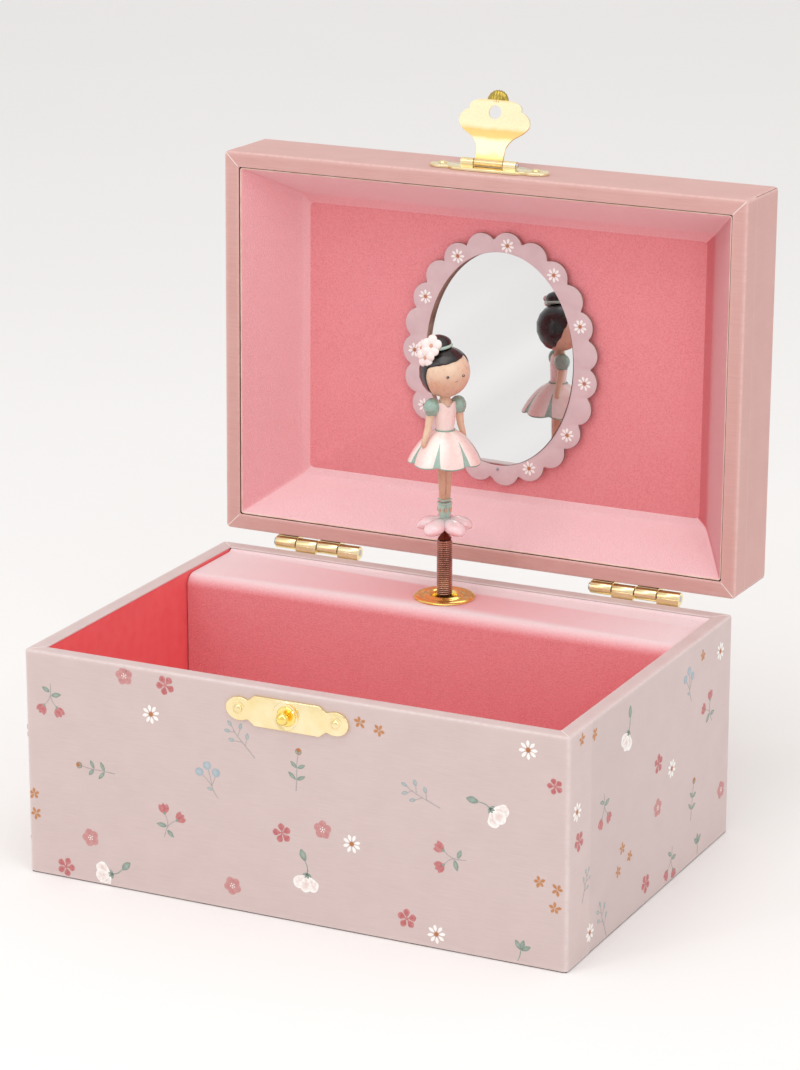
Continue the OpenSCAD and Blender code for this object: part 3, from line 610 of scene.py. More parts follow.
def base_wrap():
    """The printed paper round the base, folded over the rim, with its seam behind the right front corner."""
    shape = Shape()
    top = RIM_Z
    profile = [(0.9, 0.28), (0.25, 0.28), (0.05, 0.5), (0, 1.5), (0, top - 2 * EDGE_R), (0, top - EDGE_R),
               (0.1, top - 0.32), (0.32, top - 0.1), (EDGE_R, top), (1.5, top), (RIM - 0.9, top),
               (RIM - 0.4, top), (RIM - 0.12, top - 0.12), (RIM, top - SHEET_T),
               (RIM - 0.2, top - SHEET_T - 0.08), (SHEET_T + 0.4, top - SHEET_T - 0.05),
               (SHEET_T + 0.05, top - 2 * SHEET_T), (SHEET_T + 0.05, 0.65)]
    # paleness of each ring of the profile at the folds: wear and painted highlight
    wear_and_painted_highlight = [0.2, 0.35, 0.3, 0, 0, 0.1, 0.5, 0.65, 0.25, 0, 0, 0.2, 0.6, 0.3, 0, 0, 0, 0]
    corners = [WALK["front"], WALK["right"], WALK["back"], WALK["left"]]
    rings, tones = [], []
    for (depth, z), fold in zip(profile, wear_and_painted_highlight):
        outer = 1 if depth < EDGE_R else 0
        ring = rounded(HALF_W - LIP - depth, HALF_D - LIP - depth, max(1.3 - depth, 0.15), z)
        for i, p in enumerate(ring):
            raised = lift(corners[i // 8]) * outer
            p.x += math.copysign(raised, p.x)
            p.y += math.copysign(raised, p.y)
        x = ring[7].x
        ring[8:8] = [Vector((x, SEAM_Y - 0.7, z)), Vector((x, SEAM_Y - 0.1, z)),
                     Vector((x - LIP * outer, SEAM_Y + 0.1, z))]
        tone = [max(fold, c) for c in CORNER_TONES]
        # the ridge of the seam is paler: a painted highlight
        tone[8:8] = [fold, fold + 0.3 * outer, fold]
        rings.append(ring)
        tones.append(tone)
    shape.loft(rings, 0, tones, shut=True)
    mitres(shape, HALF_W - LIP, HALF_D - LIP, RIM_Z, 1)
    made = shape.piece("base_paper", [PAPER_PRINT, PAPER_EDGE], "base", "paper_print", ["base_wrap"])
    through = Matrix.Translation((0, HALF_D, KEY_Z)) @ spin(90, "X")
    bored(made, cutter(through, KEY_HOLE_R))


def lid_wrap():
    """The plain paper round the lid, folded over the rim and over the top."""
    shape = Shape()
    low, high = LID_LOW.z, LID_HIGH.z
    fold_z = low + 7  # where the rim's turned paper ends on the sides
    profile = [(RIM, low + SHEET_T), (RIM - 0.12, low + 0.12), (RIM - 0.4, low), (RIM - 0.9, low),
               (1.5, low), (EDGE_R, low), (0.32, low + 0.1), (0.1, low + 0.32), (0, low + EDGE_R),
               (0, low + 1.1), (0, fold_z - 0.4), (0, fold_z), (LIP * 0.8, fold_z + 0.12),
               (LIP * 0.8, fold_z + 0.5), (LIP * 0.8, high - 1.5), (LIP * 0.8, high - 0.8),
               (0.2, high - 0.36), (0.45, high - 0.1), (1.0, high), (1.8, high)]
    # paleness of each ring of the profile at the folds: wear and painted highlight
    wear_and_painted_highlight = [0.4, 0.6, 0.2, 0, 0, 0.2, 0.6, 0.5, 0.15, 0, 0, 0.2, 0.35, 0, 0, 0.2, 0.6, 0.7, 0.3, 0]
    rings = [rounded(HALF_W - LIP - d, HALF_D - LIP - d, max(1.3 - d, 0.15), z) for d, z in profile]
    tones = [[max(fold, c) for c in CORNER_TONES] for fold in wear_and_painted_highlight]
    rings.append([Vector((0, 0, high))] * len(rings[0]))
    tones.append([0] * len(rings[0]))
    inner = [(RIM - 0.1, low + SHEET_T + 0.08), (SHEET_T + 0.5, low + SHEET_T + 0.06),
             (SHEET_T + 0.06, low + SHEET_T + 0.5), (SHEET_T + 0.06, high - SHEET_T - 0.1)]
    under = [rounded(HALF_W - LIP - d, HALF_D - LIP - d, 0.9, z) for d, z in inner]
    under.append([Vector((0, 0, high - SHEET_T - 0.1))] * len(rings[0]))
    shape.loft(under[::-1] + rings, 0, [[0] * len(rings[0])] * len(under) + tones, caps=(False, False))
    mitres(shape, HALF_W - LIP, HALF_D - LIP, low, -1)
    shape.piece("lid_paper", [PAPER_ROSE, PAPER_EDGE], "lid", "paper_rose", ["lid_wrap"], OPENED)


def lid_liner():
    """The flocked liner: four sloping sides with a cut card edge, and the flat panel between them."""
    sides = Shape()
    mouth_x, mouth_y, mouth_z = MOUTH_HIGH.x, MOUTH_HIGH.y, MOUTH_LOW.z
    panel_x, panel_y, panel_z = PANEL_HIGH.x, PANEL_HIGH.y, PANEL_LOW.z
    card = 0.35
    rings = [rounded(mouth_x, mouth_y, 0.8, mouth_z + 0.1), rounded(mouth_x, mouth_y, 0.8, mouth_z),
             rounded(mouth_x - 0.15, mouth_y - 0.15, 0.7, mouth_z - 0.02)]
    rings.append(rounded(mouth_x - card, mouth_y - card, 0.7, mouth_z + 0.12))
    for t, sink in ((0.04, 0.05), (0.3, 0.12), (0.6, 0.12), (0.88, 0.06), (0.96, -0.18), (0.985, -0.6)):
        reach = 1 - t
        x = panel_x + (mouth_x - panel_x) * reach - card + sink
        y = panel_y + (mouth_y - panel_y) * reach - card + sink
        rings.append(rounded(x, y, 0.8 + 0.5 * t, mouth_z + (panel_z - mouth_z) * min(1, t + 0.01)))
    rings.append(rounded(panel_x - 2.4, panel_y - 2.4, 1.4, panel_z - 0.12))
    rings.append(rounded(panel_x - 2.8, panel_y - 2.8, 1.4, panel_z + 0.05))
    rings.append(rounded(panel_x - 0.1, panel_y - 0.1, 1.4, panel_z + 0.1))
    n = len(rings[0])
    shades = [1, 1, 1] + [0] * (len(rings) - 3)
    inks = [shades[k] for k in range(len(rings)) for _ in range(n)]
    # painted light and shade on each slope's pile, as the light falls with the lid open: above nought paler,
    # below nought deeper
    upper, right, lower, left = 0.3, -0.7, 0.95, 0.55
    brushing_and_painted_light = [upper] * 4 + [right] * 8 + [lower] * 8 + [left] * 8 + [upper] * 4
    sides.loft(rings, inks, [brushing_and_painted_light] * len(rings), shut=True)
    sides.piece("lid_liner_sides", [FLOCK_PINK, LINER_EDGE], "lid", "flock_pink", ["liner_sides"], OPENED)
    panel = Shape()
    outline = [Vector((p.x, p.y)) for p in rounded(panel_x - 0.2, panel_y - 0.2, 1.4, 0)]
    flat = [at_height(outline, PANEL_HIGH.z),
            at_height(outline, panel_z + 0.25),
            at_height(inset(outline, 0.4), panel_z + 0.02)]
    panel.loft(flat)
    panel.piece("lid_liner_panel", FLOCK_PINK, "lid", "flock_pink", ["liner_panel"], OPENED)


def compartment_pad():
    """A thin flocked pad that lies on the floor of the compartment."""
    shape = Shape()
    x, low, high = PAD_HIGH.x - 0.2, PAD_LOW, PAD_HIGH
    middle, half = (low.y + high.y) / 2, (high.y - low.y) / 2 - 0.2
    rings = []
    for shrink, z in ((0.3, low.z), (0, low.z + 0.3), (0, high.z - 0.45), (0.25, high.z - 0.15),
                      (0.9, high.z - 0.02), (6, high.z), (20, high.z)):
        rings.append([p + Vector((0, middle, 0)) for p in rounded(x - shrink, half - shrink, 1.6, z)])
    shape.loft(rings)
    made = shape.piece("flocked_pad", FLOCK_DEEP, "base", "flock_pink", ["compartment_pad"])


def mechanism_cover():
    """The flocked card bent over the movement: the divider and the platform in one piece."""
    shape = Shape()
    y, top, back, low = COVER_LOW.y, COVER_HIGH.z, COVER_HIGH.y, COVER_LOW.z
    bend, card = 3.5, 1.5
    outside = [Vector((y, low)), Vector((y, low + 20))]
    outside += arc((y + bend, top - bend), bend, 180, 90, 12)
    outside += [Vector((back - 8, top)), Vector((back - 1.6, top)), Vector((back - 0.8, top + 0.3)),
                Vector((back - 0.3, RIM_Z - 0.5)), Vector((back - 0.02, RIM_Z - 0.5))]
    inside = [Vector((y + card, low)), Vector((y + card, low + 20))]
    inside += arc((y + bend, top - bend), bend - card, 180, 90, 12)
    inside += [Vector((back - 8, top - card)), Vector((back, top - card))]
    outline = outside + inside[::-1]
    half = COVER_HIGH.x
    rings = []
    for x, shrink in ((-half, 0.3), (-half + 0.3, 0), (half - 0.3, 0), (half, 0.3)):
        rings.append([Vector((x, p.x, p.y)) for p in inset(outline, shrink)])
    # painted light: the tone rises over the bend so that the platform's top is painted paler, as lit from
    # above
    pale = [min(1.0, max(0.0, (p.y - top + bend) / bend)) ** 1.6 * 0.9 for p in outline]
    shape.loft(rings, 0, [pale] * len(rings))
    made = shape.piece("movement_cover", FLOCK_LIGHT, "base", "flock_light", ["mechanism_cover"], sharp=30)
    bored(made, cutter(Matrix.Translation((0, FIGURE_Y, top)), GROMMET_HOLE_R))


base_wrap()
lid_wrap()
lid_liner()
compartment_pad()
mechanism_cover()

# ---- CAD nodes that keep their shape --------------------------------------------------------------------


def keep(node, material, bevel=0.0):
    """Gives a CAD node its material, and softens its edges without changing its mesh."""
    piece = frame["nodes"][node]
    piece.data.materials.clear()
    piece.data.materials.append(material)
    if bevel:
        weld = piece.modifiers.new("weld", "WELD")
        weld.merge_threshold = 1e-6
        edge = piece.modifiers.new("bevel", "BEVEL")
        edge.width, edge.segments, edge.limit_method = bevel * MM, 2, "ANGLE"
        edge.angle_limit = math.radians(50)
        edge.harden_normals = False


KEPT = [
    (BOARD, 0, "front_board back_board left_board right_board floor_board cover_cleats lid_top_board "
               "lid_front_board lid_back_board lid_left_board lid_right_board"),
    (SHEET, 0, "underside_sheet"),
    (LINING, 0.15, "front_lining left_lining right_lining"),
    (ZINC, 0.15, "bedplate foot_bracket top_bracket comb_stand governor_frame spring_barrel barrel_cap"),
    (STEEL, 0.08, "comb comb_screws bedplate_screws winding_arbor hinge_pins hasp_pin"),
    (ARBOR, 0, "cylinder_arbor"),
    (BRASS_GEAR, 0.05, "crown_wheel cylinder_pinion great_wheel governor_wheel governor_fan"),
    (BRASS_GEAR, 0, "music_cylinder"),
    (BLUED, 0, "mainspring"),
    (MIRROR, 0, "mirror_glass"),
    (BRASS, 0.12, "key_eyelet winding_key hasp_plate strike_plate strike_stud hasp_tongue "
                  "base_hinge_leaves lid_hinge_leaves"),
    (BRASS, 0, "strike_nails hasp_nails base_hinge_nails lid_hinge_nails"),
    (BRASS_DEEP, 0.1, "grommet"),
    (BRONZE, 0, "ballerina_spring"),
    (PETAL, 0, "figure_base"),
    (SKIN, 0, "ballerina_figure"),
    (CARD, 0, "mirror_frame"),
]
for finish, bevel, names in KEPT:
    for name in names.split():
        keep(name, finish, bevel)

# ---- printed flowers --------------------------------------------------------------------------------

INK_NAMES = list(INKS)
INK_SINK = 0.12  # how far a flake of ink reaches into the paper
INK_RISE = 0.045  # how far it stands out of it
INK_STEP = 0.025  # more for each layer over the first
PRINT_EDGE = 0.8  # print kept off the folds of the paper
rng = random.Random(41)


class Print(Shape):
    """Printed motifs: thin flakes of ink, drawn with X to the right, Y up and Z out of the paper."""

    def __init__(self, level=lambda p: 0.0, low=(-99, -99), high=(99, 99)):
        super().__init__()
        self.level, self.low, self.high = level, low, high
        self.here = Matrix.Identity(4)

    def draw(self, kind, x, y, angle=0.0, size=1.0):
        """Prints the motif of a kind, each of which is a method, at a place."""
        turn = spin(angle)
        self.here = Matrix.Translation((x, y, 0)) @ turn @ Matrix.Scale(size, 4)
        getattr(self, kind)()

    def heights(self, p, layer):
        """The lower and upper point of a flake at a place, kept within the printed face."""
        x = min(self.high[0], max(self.low[0], p.x))
        y = min(self.high[1], max(self.low[1], p.y))
        up = self.level(p)
        return Vector((x, y, up - INK_SINK)), Vector((x, y, up + INK_RISE + INK_STEP * layer))

    def outside(self, points):
        """Whether all of a stroke's points lie off the printed face."""
        return any(all(p[i] < self.low[i] + 0.1 for p in points)
                   or all(p[i] > self.high[i] - 0.1 for p in points) for i in (0, 1))

    def flake(self, outline, ink, layer=0, heart=0.0, rim=1.0):
        """One closed flake whose tone runs from heart in the middle to rim at its edge."""
        flat = [self.here @ Vector((x, y, 0)) for x, y in outline]
        if self.outside(flat):
            return
        n = len(flat)
        pairs = [self.heights(p, layer) for p in flat]
        middle = self.heights(sum(flat, Vector()) / n, layer)[1]
        points = [low for low, high in pairs] + [high for low, high in pairs] + [middle]
        faces = [list(range(n))[::-1]]
        faces += [[i, (i + 1) % n, n + (i + 1) % n, n + i] for i in range(n)]
        faces += [[n + i, n + (i + 1) % n, 2 * n] for i in range(n)]
        self.add(points, faces, INK_NAMES.index(ink), [rim] * (2 * n) + [heart])

    def petal(self, angle, start, length, width, ink, layer=0, wide=0.6, heart=0.0, rim=1.0, root=(0, 0)):
        """A petal or leaf growing at an angle from upright, widest at a share of its length."""
        power = math.log(0.5) / math.log(wide)
        side = []
        for t in (0.03, 0.14, 0.3, 0.46, 0.62, 0.78, 0.92, 0.985):
            half = width / 2 * math.sin(math.pi * t ** power) ** 0.75
            side.append((start + length * t, half * rng.uniform(0.92, 1.06)))
        outline = side + [(u, -v) for u, v in side[::-1]]
        c, s = math.cos(math.radians(angle + 90)), math.sin(math.radians(angle + 90))
        placed = [(root[0] + u * c - v * s, root[1] + u * s + v * c) for u, v in outline]
        self.flake(placed, ink, layer, heart, rim)

    def dot(self, x, y, radius, ink, layer=1, heart=0.4):
        outline = []
        for k in range(9):
            a = TAU * k / 9
            outline.append((x + radius * math.cos(a), y + radius * math.sin(a) * rng.uniform(0.9, 1.1)))
        self.flake(outline, ink, layer, heart)

    def stroke(self, points, width, ink="stem", layer=0):
        """A thin line of ink that tapers to its far end."""
        line = [self.here @ p for p in curve([(x, y, 0) for x, y in points], 4)]
        line = [p for p in line if not self.outside([p])]
        if len(line) < 2:
            return
        rings = []
        for i, p in enumerate(line):
            along = (line[min(i + 1, len(line) - 1)] - line[max(i - 1, 0)]).normalized()
            half = Vector((-along.y, along.x, 0)) * width / 2 * (1 - 0.45 * i / len(line))
            left, right = self.heights(p + half, layer), self.heights(p - half, layer)
            rings.append([left[0], right[0], right[1], left[1]])
        self.loft(rings, INK_NAMES.index(ink), [0.7] * len(rings))

    def pink(self):
        for k in range(5):
            self.petal(72 * k, 0.1, 2.55, 2.35, "pink", k % 2 * 0.3, 0.62, 0.9, 0.5)
        for k in range(5):
            self.dot(0.62 * math.sin(TAU * k / 5), 0.62 * math.cos(TAU * k / 5), 0.17, "white", 2)
        self.dot(0, 0, 0.22, "white", 2)

    def red(self):
        for k in range(5):
            self.petal(72 * k + rng.uniform(-5, 5), 0.2, 2.6, 1.95, "red", k % 2 * 0.3, 0.66, 1, 0.55)
        self.dot(0, 0, 0.4, "red", 1, 0.0)

    def daisy(self):
        for k in range(8):
            self.petal(45 * k + rng.uniform(-4, 4), 0.7, 1.95, 0.95, "white", k % 2 * 0.3, 0.58, 1, 0.9)
        self.dot(0, 0, 0.66, "heart", 1)

    def star(self):
        for k in range(5):
            turn = 72 * k + rng.uniform(-9, 9)
            self.petal(turn, 0.1, 1.65 * rng.uniform(0.85, 1.1), 0.9, "orange", 0, 0.6, 1, 0.5)

    def bud(self, x, y, angle):
        for lean, layer in ((-26, 0), (26, 0.4), (0, 0.8)):
            self.petal(angle + lean, 0, 3.0, 1.7, "red", layer, 0.52, 0.9, 0.45, (x, y))
        self.petal(angle, -0.3, 0.9, 0.8, "green", 1, 0.5, root=(x, y))

    def twin(self):
        """Two red buds on thin stems with a pair of leaves; the joint of the stems is at the place."""
        for turn in (38, -22):
            end = (-3.1 * math.sin(math.radians(turn)) * 1.25, 3.4 * math.cos(math.radians(turn)))
            self.stroke([(0, 0), (end[0] * 0.35, end[1] * 0.55), end], 0.26)
            self.bud(*end, turn)
        self.stroke([(0, 0), (0.15, -1.4), (0.5, -3.4)], 0.28)
        self.petal(112, 0.3, 3.1, 1.35, "green", 0.3, 0.45)
        self.petal(-105, 0.3, 2.6, 1.25, "green", 0.3, 0.45, root=(0.1, -0.9))

    def tulip(self):
        """A white bell of three lobes on a stem with one leaf; the foot of the bell is at the place."""
        for lean, layer in ((-33, 0), (33, 0.4), (0, 0.8)):
            self.petal(lean, 0.2, 5.3, 3.9, "tulip", layer, 0.68, 0.25, 1.0)
        for lean in (-62, -20, 20, 62):
            self.petal(lean, -0.2, 1.7, 0.75, "green", 1.3, 0.5)
        self.stroke([(0, 0), (0.15, -1.6), (1, -3.2)], 0.32, "green")
        self.petal(-150, 0, 3.6, 1.9, "green", 0.4, 0.5, root=(1, -3.2))

    def orange_bud(self):
        self.stroke([(0.4, -6), (0.2, -2), (-0.1, 1.5), (0, 4.4)], 0.28)
        self.dot(0, 5.1, 0.95, "heart", 1, 0.2)
        self.petal(30, 0.2, 1.3, 0.6, "green", 1.3, 0.5, root=(0, 4.1))
        self.petal(-30, 0.2, 1.3, 0.6, "green", 1.3, 0.5, root=(0, 4.1))
        for height, long in ((0.4, 2.5), (-2.9, 2.9)):
            for lean in (-58, 55):
                self.petal(lean, 0.1, long, 1.05, "green", 0.3, 0.5, root=(0.1, height))

    def sprig(self):
        self.stroke([(0.6, -6), (0.2, -2), (-0.2, 2), (0.1, 4.6)], 0.26)
        self.petal(4, 0, 1.9, 1.05, "sage", 0.3, 0.5, root=(0.1, 4.4))
        for height, lean, reach in ((2.6, 56, 1.5), (1.4, -58, 1.9), (-0.6, 52, 2.2), (-2.0, -55, 2.0)):
            slope = math.radians(lean + 90)
            end = (reach * math.cos(slope), height + reach * math.sin(slope))
            self.stroke([(0.05, height), (end[0] * 0.5, (height + end[1]) / 2), end], 0.2)
            self.petal(lean * 0.8, 0, 1.9, 1.1, "sage", 0.3, 0.5, root=end)

    def berries(self):
        foot = (0.8, -2.4)
        for end in ((-2.4, 1.5), (0.2, 3.2), (2.6, 1.2)):
            self.stroke([foot, ((foot[0] + end[0]) / 2 + 0.2, (foot[1] + end[1]) / 2), end], 0.22)
            self.dot(*end, 1.2, "berry", 0.6, 0.1)
        self.stroke([foot, (1.2, -4), (2.2, -6)], 0.24)
        self.petal(70, 0, 2.0, 0.9, "sage", 0.3, 0.5, root=(1.1, -3.6))

    def triple(self):
        self.stroke([(0, 0), (0.2, -1.6), (0, -3.2)], 0.28, "green")
        for lean in (-48, 0, 46):
            self.petal(lean, 0.1, 3.0, 1.3, "green", 0.3, 0.5)


FRONT_PRINT = [
    ("twin", -72, 52, 170), ("pink", -49, 61, 10), ("red", -36.5, 60.3, 30), ("daisy", -41, 51.5, 12),
    ("star", 21, 59, 5), ("star", 26.5, 57.6, 40), ("sprig", -14, 48.5, 38), ("orange_bud", -58.5, 33, 84),
    ("berries", -24, 36.6, 8), ("orange_bud", 2.5, 43, -6), ("star", -78, 23, 0), ("star", -77.6, 17.4, 30),
    ("pink", -60.5, 13.2, 20), ("twin", -36.5, 20.5, -28), ("red", -2, 24.5, 12), ("pink", 10, 27.5, 0),
    ("daisy", 18.5, 25, 20), ("red", -68.5, 3.4, 50), ("tulip", -53.8, 3.8, 104), ("pink", -17, 7, 30),
    ("tulip", 5.4, 14.4, 172), ("daisy", 68.5, 59, 5), ("sprig", 38.4, 41.5, 62), ("tulip", 58, 41.6, 232),
    ("twin", 48, 26, 84), ("red", 34.5, 7, 0), ("daisy", 43, 4.2, 10), ("star", 72, 24, 10),
    ("star", 77, 22.6, 50), ("star", 76.4, 17.4, 0), ("triple", 67, 4.2, -16), ("red", 76, 50.4, 20, 0.8),
]
RIGHT_PRINT = [
    ("daisy", -51, 42.5, 0), ("red", -49.5, 34, 30), ("star", -48.5, 61.2, 0), ("star", -40, 60, 30),
    ("tulip", -17.5, 53.5, 150), ("red", 3.5, 37.5, 0), ("daisy", 13, 33, 20), ("twin", -33, 38, 176),
    ("pink", 3.5, 25, 0), ("orange_bud", 28.5, 19, -12), ("pink", 50, 14.5, 12), ("twin", 40, 40.5, 22),
    ("star", -20.5, 21.8, 0), ("star", -15.5, 18, 40), ("star", -23, 16.2, 10), ("twin", 14, 6.6, 160),
    ("daisy", -41.5, 6, 0), ("sprig", -33, 6.4, 20), ("berries", 24, 54, 0), ("red", -4, 6, 30),
    ("daisy", 47, 56, 0), ("sprig", -45, 20.5, -30, 0.8), ("star", 34, 58.6, 0), ("triple", 33, 4.4, 0),
]


def scattered(half_u):
    """Motifs for a face that isn't drawn out by hand: a jittered grid, the same kinds in a mixed order."""
    kinds = ["red", "daisy", "twin", "star", "pink", "sprig", "tulip", "star", "orange_bud", "red", "berries",
             "pink", "twin", "daisy", "star", "triple"]
    rng.shuffle(kinds)
    cells, k = [], 0
    columns, rows = round(2 * half_u / 16), 4
    for row in range(rows):
        for column in range(columns):
            u = (column + 0.5 + 0.25 * (-1) ** row) / columns * 2 * half_u - half_u + rng.uniform(-2, 2)
            v = (row + 0.5) / rows * RIM_Z + rng.uniform(-3, 3)
            kind = kinds[k % len(kinds)]
            room = 3 if kind in ("red", "daisy", "star", "pink") else 8
            u = max(-half_u + room, min(half_u - room, u))
            v = max(room + 0.5, min(RIM_Z - room - 1, v))
            cells.append((kind, u, v, rng.uniform(0, 360)))
            k += 1
    return cells


def print_on(side, motifs):
    """Prints one face of the base."""
    right, out, half_u, half_w = {
        "front": (Vector((1, 0, 0)), Vector((0, -1, 0)), HALF_W, HALF_D),
        "right": (Vector((0, 1, 0)), Vector((1, 0, 0)), HALF_D, HALF_W),
        "back": (Vector((-1, 0, 0)), Vector((0, 1, 0)), HALF_W, HALF_D),
        "left": (Vector((0, -1, 0)), Vector((-1, 0, 0)), HALF_D, HALF_W),
    }[side]

    def level(p):
        if side == "right" and p.x < SEAM_Y:
            return lift(SEAM_Y - p.x)
        return lift(WALK[side] + half_u - p.x)

    sheet = Print(level, (-half_u + PRINT_EDGE, PRINT_EDGE), (half_u - PRINT_EDGE, RIM_Z - 0.9))
    for motif in motifs:
        sheet.draw(*motif)
    origin = out * (half_w - LIP)
    up = Vector((0, 0, 1))
    face = Matrix([[right[i], up[i], out[i], origin[i]] for i in range(3)] + [[0, 0, 0, 1]])
    sheet.piece("print_" + side, list(INKS.values()), "base", "paper_print", place=face)


print_on("front", FRONT_PRINT)
print_on("right", RIGHT_PRINT)
# eyelet, bedplate screws and hinges on the back: place, height and the room they need
BACK_FITTINGS = [(0, KEY_Z, 12), (26, 13, 7), (-21, 13, 7), (-21, 53, 7), (50, 58, 15), (-50, 58, 15)]
print_on("back", [m for m in scattered(HALF_W)
                  if all(math.hypot(m[1] - x, m[2] - z) > room for x, z, room in BACK_FITTINGS)])
print_on("left", scattered(HALF_D))

# ---- mirror frame ----------------------------------------------------------------------------------------


def scallops():
    """Centres of the frame's scallops, evenly spaced along an oval from its foot towards the right."""
    count, half_x, half_y = 23, 25.8, 32.3
    fine = 3600
    walked = [0.0]
    for k in range(fine):
        a, b = TAU * k / fine, TAU * (k + 1) / fine
        walked.append(walked[-1] + math.hypot(half_x * (math.sin(b) - math.sin(a)),
                                              half_y * (math.cos(b) - math.cos(a))))
    centres, k = [], 0
    for i in range(count):
        while walked[k] < walked[-1] * (i + 0.25) / count:
            k += 1
        centres.append(Vector((half_x * math.sin(TAU * k / fine), half_y * math.cos(TAU * k / fine))))
    return centres


def mirror_frame():
    """The scalloped card frame with its bare cut edges and printed daisies."""
    centres = scallops()
    lobe = 4.7
    steps = len(centres) * 16
    outer, inner = [], []
    for k in range(steps):
        a = TAU * k / steps
        ray = Vector((math.sin(a), math.cos(a)))
        reach = 0
        for c in centres:
            along = c.dot(ray)
            off = c.length_squared - along ** 2
            if off < lobe ** 2 and along > 0:
                reach = max(reach, along + math.sqrt(lobe ** 2 - off))
        outer.append(ray * reach)
        inner.append(Vector((MIRROR_X * math.sin(a), MIRROR_Y * math.cos(a))))
    low, high = FRAME_LOW.z, FRAME_HIGH.z
    shape = Shape()
    rings, inks = [], []
    for line, shrink, z, bare in ((outer, 1.3, high, 1), (outer, 1.3, low + 0.8, 1), (outer, 0, low + 0.8, 1),
                                  (outer, 0, low + 0.3, 1), (outer, 0.08, low + 0.1, 0),
                                  (outer, 0.3, low, 0), (inner, -0.3, low, 0), (inner, -0.08, low + 0.1, 1),
                                  (inner, 0, low + 0.3, 1), (inner, 0, high, 1)):
        moved = [p - p.normalized() * shrink for p in line]
        rings.append(at_height(moved, z))
        inks += [bare] * steps
    shape.loft(rings, inks, shut=True)
    shape.piece("frame_card", [CARD, CARD_EDGE], "lid", "card_mauve", ["mirror_frame"], OPENED)
    daisies = Print()
    for k in range(1, len(centres), 2):
        at = centres[k] + centres[k].normalized() * 0.9
        daisies.draw("daisy", at.x, -at.y, rng.uniform(0, 45), 0.8)
    # the daisies are drawn on the face that looks down when the lid is shut
    down = Matrix.Translation((0, 0, low)) @ spin(180, "X")
    daisies.piece("print_frame", list(INKS.values()), "lid", "card_mauve", place=OPENED @ down)
    # the glass is glued a little askew: deepest at its upper left, nearly flush at its lower right
    glass = Shape()
    oval = arc((0, 0), (MIRROR_X - 0.05, MIRROR_Y - 0.05), 90, -270, 120)[:-1]
    glass.loft([at_height(oval, GLASS_Z + d) for d in (0, 0.6)])
    for p in glass.points:
        p.z -= 0.38 + 0.0367 * p.x + 0.0227 * p.y
    glass.piece("glass_oval", MIRROR, "lid", "mirror", ["mirror_glass"], OPENED, sharp=5)
    pin = Shape()
    pin.lathe([(0.45, 0.3), (0.45, 0), (0.4, -0.25), (0.2, -0.4)], 12, at=(0, 32.2, low))
    pin.piece("frame_pin", STEEL, "lid", "steel", place=OPENED)


mirror_frame()

# ---- clasp, nails, grommet -----------------------------------------------------------------------------


def upright(y, z):
    """Stands a plate drawn in X and Y on a front face: its Y goes up and its Z comes forward."""
    return Matrix.Translation((0, y, z)) @ spin(90, "X")


PLATE_T = 0.8  # thickness of a clasp plate
NAIL_X = 14.3  # from the middle of a clasp plate to its nails
KNUCKLE_X = 6.5  # from the middle of the hasp plate to its knuckles
PIN_OUT = 1.9  # from the lid's front to the middle of the hasp pin
TONGUE_T = 0.7
TONGUE_HOLE = 14.2  # from the pin to the middle of the tongue's hole


def clasp_outline():
    """A plate with a wide middle, a waist either side of it and a lobe at each end."""
    quarter = [(9.3, 4.2), (9.75, 4.05), (10.6, 3.3), (11.4, 2.72), (12.0, 2.75)]
    quarter += [(p.x, p.y) for p in arc((14.1, 0), (3.9, 3.25), 112, 0, 10)]
    half = quarter + [(x, -y) for x, y in quarter[-2::-1]]
    return [Vector(p) for p in half + [(-x, -y) for x, y in half]]


def clasp_plate():
    """The pressed plate that both halves of the clasp share."""
    shape = Shape()
    shape.plate(clasp_outline()[::-1], 0, PLATE_T, 0.22, steps=3)
    for side in (-1, 1):  # a pressed hollow round each nail
        shape.lathe([(2.2, -0.1), (2.0, 0.04), (1.75, 0.09), (1.5, 0.05), (1.4, -0.1)], 32,
                    at=(side * NAIL_X, 0, PLATE_T), shut=True)
    return shape


def clasp_nails(name, body, node, place):
    """Two round-headed nails whose heads rise along Z."""
    nails = Shape()
    for side in (-1, 1):
        nails.lathe([(0, -1.8), (0.35, -1.4), (0.4, 0), (1.16, 0.02), (1.2, 0.16), (1.05, 0.42), (0.7, 0.62),
                     (0.32, 0.69), (0, 0.7)], 24, at=(side * NAIL_X, 0, PLATE_T))
    nails.piece(name, BRASS, body, "brass_bright", [node], place)


def rolled(shape, at, outer, bore, half, tone=0.0):
    """A rolled eye, with the hole for its pin along X."""
    start = len(shape.points)
    shape.lathe([(outer, -half), (outer, half), (0.9, half), (bore, half - 0.04), (bore, 0.04 - half),
                 (0.9, -half)], 28, tones=[tone] * 6, shut=True)
    shape.move(Matrix.Translation(at) @ spin(90, "Y"), start)


